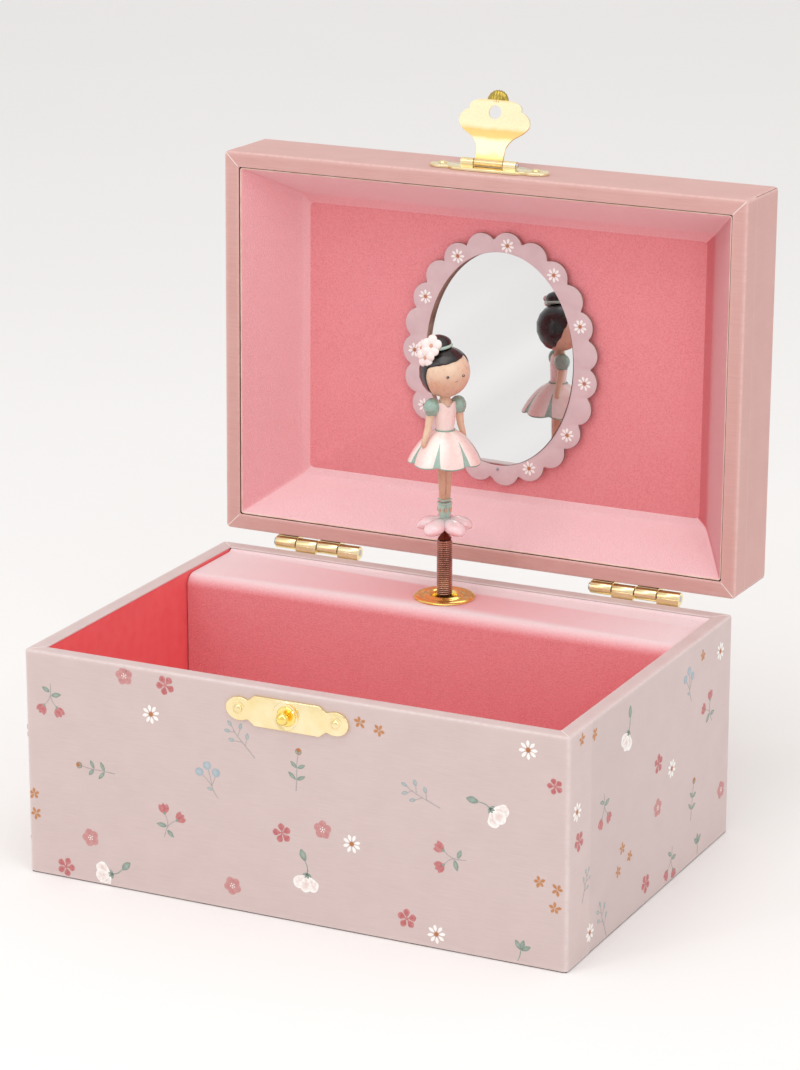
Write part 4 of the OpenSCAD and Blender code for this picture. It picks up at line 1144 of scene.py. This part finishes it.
def strike_half():
    """The half on the base: plate, dish and the ball that the tongue snaps over."""
    here = upright(-HALF_D, STUD_Z)
    plate = clasp_plate()
    plate.lathe([(4.1, 0.5), (4.05, 0.86), (3.85, 1.0), (3.6, 0.98), (3.35, 0.84), (3.3, 0.5)], 48, shut=True)
    plate.lathe([(3.3, 0.5), (3.1, 0.76), (2.9, 0.8), (2.2, 0.84), (1.2, 0.86), (0, 0.86)], 40,
                tones=[1, 1, 1, 0.8, 0.8, 0.8])
    plate.piece("strike_plate_pressed", BRASS, "base", "brass_bright", ["strike_plate"], here)
    stud = Shape()
    # painted shade: the tones deepen the stud's neck and the lower part of its ball, and fade to nought at
    # its top
    stud.lathe([(0, -1.2), (0.8, -1.2), (0.85, 0.7), (1.1, 0.95), (1.3, 1.3), (1.6, 1.7), (1.75, 2.15),
                (1.7, 2.6), (1.45, 3.1), (1.05, 3.45), (0.5, 3.68), (0, 3.72)], 32,
               tones=[0.9, 0.9, 0.9, 0.9, 0.8, 0.5, 0.3, 0, 0, 0, 0, 0])
    stud.lathe([(0.85, 0.04), (2.65, 0.04), (2.7, 0.2), (2.5, 0.42), (1.8, 0.5), (0.9, 0.5)], 32, shut=True,
               tones=[0.8, 0.8, 0.3, 0, 0.4, 0.9])
    stud.piece("strike_ball", BRASS_DEEP, "base", "brass_bright", ["strike_stud"],
               upright(-HALF_D - PLATE_T, STUD_Z))
    clasp_nails("strike_nail_heads", "base", "strike_nails", here)


def hasp_half():
    """The half on the lid, without its tongue."""
    here = OPENED @ upright(-HALF_D, HASP_Z)
    plate = clasp_plate()
    foot = ((-1.09, 0.4), (-1.09, PIN_OUT), (-0.6, PIN_OUT), (-0.6, 0.4))
    for side in (-1, 1):  # the rolled knuckles that hold the pin
        rolled(plate, (side * KNUCKLE_X, 0, PIN_OUT), 1.1, 0.55, 1.9)
        plate.loft([[Vector((side * KNUCKLE_X + x, y, z)) for y, z in foot] for x in (-1.9, 1.9)])
    plate.piece("hasp_plate_pressed", BRASS, "lid", "brass_bright", ["hasp_plate"], here)
    clasp_nails("hasp_nail_heads", "lid", "hasp_nails", here)


TONGUE_FLANK = [(-0.6, 4.2), (1.2, 4.25), (3.2, 4.35), (4.9, 4.7), (7.0, 6.3), (8.7, 9.0), (10.5, 10.7),
                (12.5, 10.7), (14.1, 9.4), (14.7, 8.1)]  # distance from the pin, half width
TONGUE_TOE = [(14.8, 7.95), (16.0, 7.9), (16.9, 6.9), (17.4, 5.3), (17.6, 3.6)]
HASP_HANGS = upright(-HALF_D - PIN_OUT + TONGUE_T / 2, HASP_Z)


def hasp_tongue():
    """The tongue: a sprung sheet with a hole for the stud, a rolled eye and a knurled lifting tab."""
    shape = Shape()
    thick = TONGUE_T
    place = RAISED @ HASP_HANGS
    rows = curve([(*p, 0) for p in TONGUE_FLANK], 5) + curve([(*p, 0) for p in TONGUE_TOE], 5)
    rings, tones = [], []
    for down, half, _ in rows:
        bow = 0.35 * math.sin(math.pi * max(0.0, down) / 18.5) ** 2 - 0.1
        bow -= 0.4 * min(1.0, max(0.0, 1 - down / 3.2)) ** 2
        front = [(-half + 0.1, 0), (-half, 0.12), (-half, thick - 0.12), (-half + 0.1, thick)]
        front += [(half * (k / 6 - 1), thick) for k in range(1, 12)]
        back = [(-x, thick - z) for x, z in front]
        rings.append([Vector((x, -down, z + bow)) for x, z in front + back])
        # painted reflection: the tone darkens rows across the sheet near the pin, across its middle and at
        # its toe
        painted_reflection_rows = math.exp(-((down - 8.2) / 1.5) ** 2) + 0.9 * math.exp(-((down - 1.5) / 1.4) ** 2)
        tones.append(min(1.0, painted_reflection_rows + 0.6 * math.exp(-((down - 18) / 1.0) ** 2)))
    shape.loft(rings, 0, tones)
    rolled(shape, (0, 0, thick / 2), 1.04, 0.56, 4.3, 0.5)
    made = shape.piece("hasp_tongue_sheet", BRASS_SHEET, "hasp", "brass_bright", ["hasp_tongue"], place)
    bored(made, cutter(place @ Matrix.Translation((0, -TONGUE_HOLE, 0)), 1.95))
    tab = Shape()

    def dome(p):
        ridge = 1 + 0.045 * math.cos(26 * p.x)
        return Vector((p.x, min(p.y, 0.1) * ridge, p.z * ridge))

    tab.ball((0, -17.3, 1.1), (3.25, 3.2, 1.2), 64, 0, 0.2, dome)
    tab.piece("hasp_tab", BRASS_OLD, "hasp", "brass_bright", place=place)


def grommet():
    """The turned brass ring where the spring comes through the cover."""
    shape = Shape()
    profile = [(5.6, 60.4), (5.6, 62.8), (8.4, 62.82), (8.7, 62.95), (8.66, 63.2), (8.3, 63.5), (7.6, 63.72),
               (6.9, 63.7), (6.3, 63.5), (5.9, 63.46), (5.5, 63.66), (5.1, 63.92), (4.7, 64.0), (4.3, 63.9),
               (3.8, 63.5), (3.55, 63.0), (3.5, 61.0), (4.4, 60.4)]
    shape.lathe(profile, 64, at=(0, FIGURE_Y, 0), shut=True)
    shape.piece("grommet_turned", BRASS_DEEP, "base", "brass_deep", ["grommet"])


strike_half()
hasp_half()
hasp_tongue()
grommet()

# ---- the dancer ------------------------------------------------------------------------------------------

SPRING_LOW, SPRING_HIGH = node_box("ballerina_spring")
SHOE_Z = node_box("ballerina_figure")[0].z
HEAD_Z = 127.9
HEAD_R = 6.95
BUN_SIDE = -114.6  # azimuth of the bun and the flowers
BUN_FRONT = BUN_SIDE + 90  # azimuth that the bun and the flowers look to
ARBOR_TOP = 65.2


def around(azimuth, radius, z):
    """A point at an azimuth in degrees from the dancer's own front, positive to her left."""
    a = math.radians(azimuth)
    return Vector((radius * math.sin(a), -radius * math.cos(a), z))


def painted(shape, name, *materials):
    """A piece of the resin figure, which is one node in CAD."""
    shape.piece(name, materials, "ballerina", "painted_resin", ["ballerina_figure"], FIGURE)


def spring():
    """The close-wound spring that carries the dancer."""
    shape = Shape()
    wire = 0.3
    radius = (SPRING_HIGH.x - SPRING_LOW.x) / 2 - wire
    turns = 27
    steps = 24
    foot = SPRING_LOW.z - 1.4  # the lowest coils sit down in the grommet
    path = []
    for k in range(turns * steps + 1):
        a = TAU * k / steps
        z = foot + wire + (SPRING_HIGH.z - foot - 2 * wire) * k / (turns * steps)
        path.append((radius * math.cos(a), radius * math.sin(a), z))
    shape.tube(path, wire, 8)
    shape.lathe([(0, SPRING_LOW.z + 1.3), (1.3, SPRING_LOW.z + 1.3), (1.3, SPRING_HIGH.z - 0.2),
                 (0, SPRING_HIGH.z - 0.2)], 20, 1)
    made = shape.build("spring_coils", [BRONZE, BRONZE_DARK], Matrix.Translation((0, FIGURE_Y, 0)), 60)
    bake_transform(made)
    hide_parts("ballerina_spring")


def spindle():
    """The cylinder's arbor, whose top carries the spring inside the grommet."""
    shape = Shape()
    shape.lathe([(0, 29.5), (1, 29.5), (1, 30.9), (1.5, 30.9), (1.5, 57.8), (2.6, 57.8), (2.6, 62.0),
                 (2.3, 62.4), (1.2, 62.6), (1.2, ARBOR_TOP), (0, ARBOR_TOP)], 32, at=(0, FIGURE_Y, 0))
    shape.piece("arbor_turned", ARBOR, "cylinder", "steel", ["cylinder_arbor"])


def petal_base():
    """The flower under the dancer's feet: five puffed petals of glossy pink plastic on a bronze cone."""
    shape = Shape()

    def petal(p):
        wide = 0.86 + 0.2 * p.x - 0.1 * p.x ** 2
        return Vector((p.x, p.y * wide, p.z - 0.3 * max(0.0, p.x) ** 3))

    for k in range(5):
        start = len(shape.points)
        shape.ball((0, 0, 0), (4.2, 3.3, 1.95), 32, 0, 0.0, petal)
        azimuth = 11.4 + 72 * k
        droop = spin(9, "Y")
        turn = spin(azimuth - 90)
        shape.move(Matrix.Translation(around(azimuth, 4.15, SHOE_Z - 2.0)) @ turn @ droop, start)
    shape.ball((0, 0, SHOE_Z - 1.7), (2.9, 2.9, 1.6), 24)
    shape.piece("petals", PETAL, "ballerina", "petal_plastic", ["figure_base"], FIGURE)
    cone = Shape()
    cone.lathe([(0, 79.8), (1.9, 79.8), (2.2, 80.0), (1.8, 80.5), (1.15, 81.3), (0.5, 82.3), (0, 82.6)], 6)
    cone.piece("spring_cone", BRONZE_DARK, "ballerina", "petal_plastic", place=FIGURE, sharp=20)


def head_point(azimuth, z, extra=0.0):
    """A point on the head, or above it, at a height over its middle."""
    level = max(-1.0, min(1.0, z / HEAD_R))
    width = HEAD_R * math.sqrt(1 - level ** 2)
    lower = 1 - 0.05 * max(0.0, -level)
    out = around(azimuth, width * lower, z)
    return out + out.normalized() * extra + Vector((0, 0, HEAD_Z))


# azimuth, and height over the middle of the head
HAIRLINE = [(-180, -6.2), (-120, -6.0), (-86, -5.4), (-78, -4.6), (-75, -3.4), (-73.5, -0.7), (-71, 2.1),
            (-64, 2.6), (-45, 3.1), (-27, 3.5), (2, 4.1), (30, 4.6), (55, 4.95), (71, 5.0), (80, 3.8),
            (92, 1.0), (104, -2.5), (120, -5.0), (150, -6.0), (180, -6.2)]


def hairline(azimuth):
    """Height of the hair's edge, eased between the points of HAIRLINE."""
    for (a, low), (b, high) in zip(HAIRLINE, HAIRLINE[1:]):
        if a <= azimuth <= b:
            t = (azimuth - a) / (b - a)
            return low + (high - low) * t * t * (3 - 2 * t)
    return HAIRLINE[0][1]


def head():
    """Head with a plain doll's face, neck, hair, bun and its band."""
    face = Shape()
    rings, tones = [], []
    for k in range(1, 24):
        z = -HEAD_R * math.cos(math.pi * k / 24)
        rings.append([head_point(360 * i / 48, z) for i in range(48)])
        # painted light: the skin is paler towards the crown and deeper towards the chin
        tones.append(0.5 + 0.5 * z / HEAD_R + 0.15)
    face.loft(rings, 0, tones)
    # painted shade: the neck's tone deepens upwards, under the chin
    face.tube([(0, 0, 118.8), (0, 0, 120.2), (0, 0.1, 122.6)], [1.9, 1.45, 1.5], 20, 0, [0.3, 0.2, 0.1])
    for azimuth in (-19, 21):
        face.ball(head_point(azimuth, 0.25, -0.02), (0.48, 0.48, 0.36), 14, 1)
        # a tiny pale dot on each eye is a painted highlight
        face.ball(head_point(azimuth - 2.2, 0.36, 0.3), 0.15, 8, 2)
    smile = [head_point(a, -1.0 - 0.2 * math.cos(math.radians(a * 14)), 0.0) for a in range(-3, 8, 2)]
    face.tube(smile, 0.08, 6, 3)
    painted(face, "dancer_head", SKIN, FACE_INK, DRESS, BLUSH)
    hair = Shape()
    rings = []
    for k in range(96):
        azimuth = -180 + 360 * k / 96
        low = hairline(azimuth)
        ring = [head_point(azimuth, low + 0.5, -0.4), head_point(azimuth, low, -0.05),
                head_point(azimuth, low + 0.06, 0.18)]
        for t in (0.04, 0.12, 0.24, 0.38, 0.52, 0.66, 0.8, 0.92):
            z = low + (HEAD_R * 0.995 - low) * math.sin(math.pi / 2 * t)
            strand = 0.05 * math.sin(math.radians(azimuth * 9 + 140 * t))
            ring.append(head_point(azimuth, z, 0.34 + 0.08 * t + strand * (1 - t)))
        ring.append(Vector((0, 0, HEAD_Z + HEAD_R + 0.42)))
        ring.append(Vector((0, 0, HEAD_Z + HEAD_R - 0.6)))
        rings.append(ring)
    tones = [[0.5 + 0.4 * math.sin(k * 0.5)] * len(rings[0]) for k in range(96)]
    hair.loft(rings, 0, tones, shut=True)
    tilt = Matrix.Translation(around(BUN_SIDE, 2.2, 136.1)) @ spin(BUN_FRONT)
    start = len(hair.points)
    hair.ball((0, 0, 0), (3.9, 3.4, 2.25), 32, 0, 0.4,
              lambda p: Vector((p.x, p.y, p.z * (1 + 0.05 * math.sin(4 * p.x + 3 * p.y)))))
    hair.move(tilt @ spin(-6, "Y"), start)
    start = len(hair.points)
    band = [(3.75 * math.cos(TAU * k / 40), 3.3 * math.sin(TAU * k / 40), -0.95) for k in range(40)]
    hair.tube(band, 0.46, 10, 1, [0.6] * 40, shut=True)
    hair.move(tilt @ spin(-9, "Y"), start)
    painted(hair, "dancer_hair", HAIR, MINT_PALE)


def blossom(shape, at, facing, size=1.0):
    """A modelled five-petal flower."""
    start = len(shape.points)
    for k in range(5):
        a = TAU * k / 5
        shape.ball((1.25 * math.sin(a), 1.25 * math.cos(a), 0.1), (1.08, 1.08, 0.5), 18, 0, 0.8)
    shape.ball((0, 0, 0.42), (0.36, 0.36, 0.28), 12, 1, 0.8)
    turn = Vector(facing).to_track_quat("Z", "Y").to_matrix().to_4x4()
    shape.move(Matrix.Translation(at) @ turn @ Matrix.Scale(size, 4), start)


def flowers():
    """Three blossoms beside the bun."""
    shape = Shape()
    left = around(BUN_SIDE, 1, 0)
    near = around(BUN_FRONT, 1, 0)
    up = Vector((0, 0, 1))
    places = ((3.7, 3.4, 136.2, 1.35), (5.3, 3.4, 132.9, 1.3), (6.4, 0.6, 135.0, 1.0))
    for across, forward, z, size in places:
        at = left * across + near * forward + up * z
        blossom(shape, at, left * across * 0.8 + near * (forward + 2.2) + up * (z - 133.2) * 0.6, size)
    painted(shape, "dancer_flowers", BLOSSOM, BLUSH_SOFT)


def skirt():
    """The bell skirt: seven soft panels with green insets in the folds between them and a green hem."""
    shape = Shape()
    sectors = 7
    sector = 360 / sectors
    # share of the way down, radius, height
    profile = [(0.0, 2.62, 111.6), (0.06, 3.3, 111.2), (0.16, 4.7, 110.4), (0.3, 6.2, 109.1),
               (0.45, 7.5, 107.6), (0.6, 8.6, 106.1), (0.75, 9.5, 104.7), (0.88, 10.1, 103.5),
               (0.955, 10.4, 102.85), (0.975, 10.44, 102.65), (1.0, 10.3, 102.45)]

    def ring(t, radius, z):
        points, tones = [], []
        half = 0.135 * (t - 0.22) / 0.78 if t > 0.22 else 0.001
        places = [-half, 0, half] + [half + (1 - 2 * half) * k / 9 for k in range(1, 9)]
        for s in range(sectors):
            for place in places:
                near = min(abs(place), abs(1 - place)) * 2
                puff = math.sin(math.pi * min(1, near) / 2) ** 0.8
                r = radius * (1 - 0.085 * t * (1 - puff))
                down = (0.6 * (1 - puff) - 0.2) * t * t
                points.append(around(13.8 + sector * (s + place), r, z + down))
                # painted highlights: the tone is palest at the folds beside the insets and lowest mid-panel,
                # shifted on every other panel
                tones.append(0.5 + 0.5 * math.cos(TAU * place + 0.6 * (s % 2) * math.pi))
        return points, tones

    rows = [ring(*p) for p in profile]
    inner = [ring(t, r - 0.55, z + 0.15) for t, r, z in profile[-2:2:-2]]
    rings = [r[0] for r in rows] + [r[0] for r in inner]
    tones = [r[1] for r in rows] + [r[1] for r in inner]
    across = len(rings[0])
    inks = []
    for k in range(len(rings) - 1):
        for i in range(across):
            inset_face = i % 11 in (0, 1) and 2 < k < 10
            hem = 8 <= k <= 10
            inks.append(1 if inset_face or hem else 0 if k < 11 else 2)
    shape.loft(rings, inks + [0, 2], tones)
    return shape


def dress():
    """Skirt, bodice, waistband and puffed sleeves."""
    shape = skirt()
    rows = [(111.4, 2.62, 2.35), (112.6, 2.66, 2.35), (114.6, 2.95, 2.5), (116.8, 3.3, 2.65),
            (118.6, 3.35, 2.5), (119.7, 3.1, 2.2)]  # height, half width, half depth
    rings, tones = [], []
    for z, rx, ry in rows:
        ring = []
        for i in range(40):
            a = math.radians(360 * i / 40)
            front = max(0.0, 1 - min(a, TAU - a) / 0.55)
            dip = 1.5 * front if z > 119 else 0.3 * front if z > 118 else 0
            ring.append(Vector((rx * math.sin(a), -ry * math.cos(a), z - dip)))
        rings.append(ring)
        tones.append([0.35] * 40)
    shape.loft(rings, 0, tones)
    shape.tube([around(9 * k, 2.7, 111.62) for k in range(40)], 0.2, 8, 1, [0.2] * 40, shut=True)
    for side in (-1, 1):
        shape.ball((side * 4.0, 0.1, 118.3), (2.3, 2.35, 2.5), 28, 1, 0.6,
                   lambda p: p * (1 + 0.02 * math.cos(9 * math.atan2(p.y, p.x))))
        shape.tube([(side * 4.3 + 1.35 * math.cos(TAU * k / 20), 1.4 * math.sin(TAU * k / 20), 116.5)
                    for k in range(20)], 0.24, 6, 1, [0.2] * 20, shut=True)
    painted(shape, "dancer_dress", DRESS, MINT, SKIN)


def limbs():
    """Shoulders, arms, legs and ruffled shoes."""
    shape = Shape()
    chest = [(0, 117), (2.0, 117), (2.15, 118.4), (2.1, 119.3), (1.8, 119.9), (1.45, 120.5), (0, 120.8)]
    shape.lathe(chest, 28, 0, [0.45] * 7)
    arms = [((-4.3, 0.1, 117.6), (-4.7, 0, 115.2), (-5.4, -0.5, 112.4), around(-76, 7.5, 109.0)),
            ((4.3, 0.1, 117.6), (4.5, 0.2, 115.2), (5.1, 0.8, 112.4), around(104, 6.6, 109.2))]
    for shoulder, upper, elbow, hand in arms:
        path = [shoulder, upper, elbow, (hand + Vector(elbow)) / 2, hand]
        shape.tube(path, [1.15, 1.12, 1.0, 0.86, 0.72], 16, 0, [0.5, 0.7, 0.7, 0.6, 0.4])
        shape.ball(hand - Vector((0, 0, 0.5)), (0.82, 0.76, 1.1), 16, 0, 0.4)
    for side in (-1, 1):
        leg = [(side * 0.98, 0, 103), (side * 0.95, 0, 99), (side * 0.8, 0, 95), (side * 0.66, 0, 91)]
        # painted shade: the legs' tone is lowest at the top, under the skirt
        shape.tube(leg, [1.32, 1.24, 1.05, 0.95], 18, 0, [0.1, 0.35, 0.3, 0.2])
        foot = [(side * 0.78, 0, 90.5), (side * 0.86, -0.1, 89.4), (side * 0.8, -0.1, 88),
                (side * 0.62, 0, 86.8), (side * 0.55, 0, 86.0)]
        shape.tube(foot, [1.06, 1.22, 1.14, 0.98, 0.8], 18, 1, [0.3, 0.7, 0.6, 0.4, 0.3])
    for z, radius, fat in ((91.5, 1.72, 0.24), (90.5, 1.98, 0.2)):
        cuff = [around(12 * k, radius, z + 0.12 * math.sin(TAU * k / 10)) for k in range(30)]
        shape.tube(cuff, fat, 8, 1, [0.6] * 30, shut=True)
    for k in range(7):
        shape.ball(around(-17 + 51.4 * k, 1.84, 88.6), (0.34, 0.34, 0.75), 10, 0, 0.0)
    painted(shape, "dancer_limbs", SKIN, MINT_PALE)


spring()
spindle()
petal_base()
head()
flowers()
dress()
limbs()

# ---- floor, light and camera -----------------------------------------------------------------------------


CAMERA_AT = (0.4340, -0.8741, 0.3853)  # metres
CAMERA_SWING = 26.14  # degrees to the right of the front
CAMERA_DIP = 16.76  # degrees that it looks down
LENS = 127.0
AIM = Vector((0, 0, 0.08))  # middle of the box, in metres


def floor():
    """A pale floor, which belongs to the studio and not to the box."""
    data = bpy.data.meshes.new("floor")
    size = 3.0
    corners = [(-size, -size, 0), (size, -size, 0), (size, size, 0), (-size, size, 0)]
    data.from_pydata(corners, [], [(0, 1, 2, 3)])
    ground = Finish("floor_pale", Specular_IOR_Level=0.2)
    ground.colour(ground.mix(ground.noise(400, 2), srgb(247, 246, 245), srgb(252, 251, 250)))
    ground.rough(ground.span(ground.noise(60, 2), 0, 1, 0.6, 0.75))
    data.materials.append(ground.material)
    linked("floor", data)


def softbox(name, place, size, power, tint=(1, 1, 1), aim=AIM):
    data = bpy.data.lights.new(name, "AREA")
    data.shape, data.size, data.size_y = "RECTANGLE", size[0], size[1]
    data.energy, data.color = power, tint
    made = linked(name, data)
    made.location = place
    made.rotation_euler = (aim - Vector(place)).to_track_quat("-Z", "Y").to_euler()


def studio():
    """Even catalogue light: a pale world, three softboxes and two small lamps for sparkle on the metal."""
    world = bpy.data.worlds.new("studio")
    bpy.context.scene.world = world
    world.use_nodes = True
    back = world.node_tree.nodes["Background"]
    back.inputs["Color"].default_value = (1, 0.985, 0.975, 1)
    back.inputs["Strength"].default_value = 0.82
    softbox("overhead", (0.05, -0.35, 1.15), (0.9, 0.7), 3.2, aim=Vector((0, 0.02, 0.08)))
    softbox("key", (-0.65, -0.85, 0.55), (0.6, 0.6), 0.6, (1, 0.98, 0.95))
    softbox("side", (0.95, -0.4, 0.5), (0.5, 0.7), 0.6)
    softbox("sparkle_left", (-0.35, -0.75, 0.75), (0.09, 0.09), 0.45)
    softbox("sparkle_right", (0.75, -0.6, 0.65), (0.08, 0.08), 0.4)


def camera():
    """The catalogue view: from the right and a little above, through a long lens."""
    data = bpy.data.cameras.new("camera")
    data.lens, data.clip_start, data.clip_end = LENS, 0.1, 10
    made = linked("camera", data)
    made.location = CAMERA_AT
    swing = Matrix.Rotation(math.radians(CAMERA_SWING), 3, "Z")
    made.rotation_euler = (swing @ Matrix.Rotation(math.radians(90 - CAMERA_DIP), 3, "X")).to_euler()
    bpy.context.scene.camera = made


floor()
studio()
camera()
bpy.context.scene.view_settings.view_transform = "Standard"
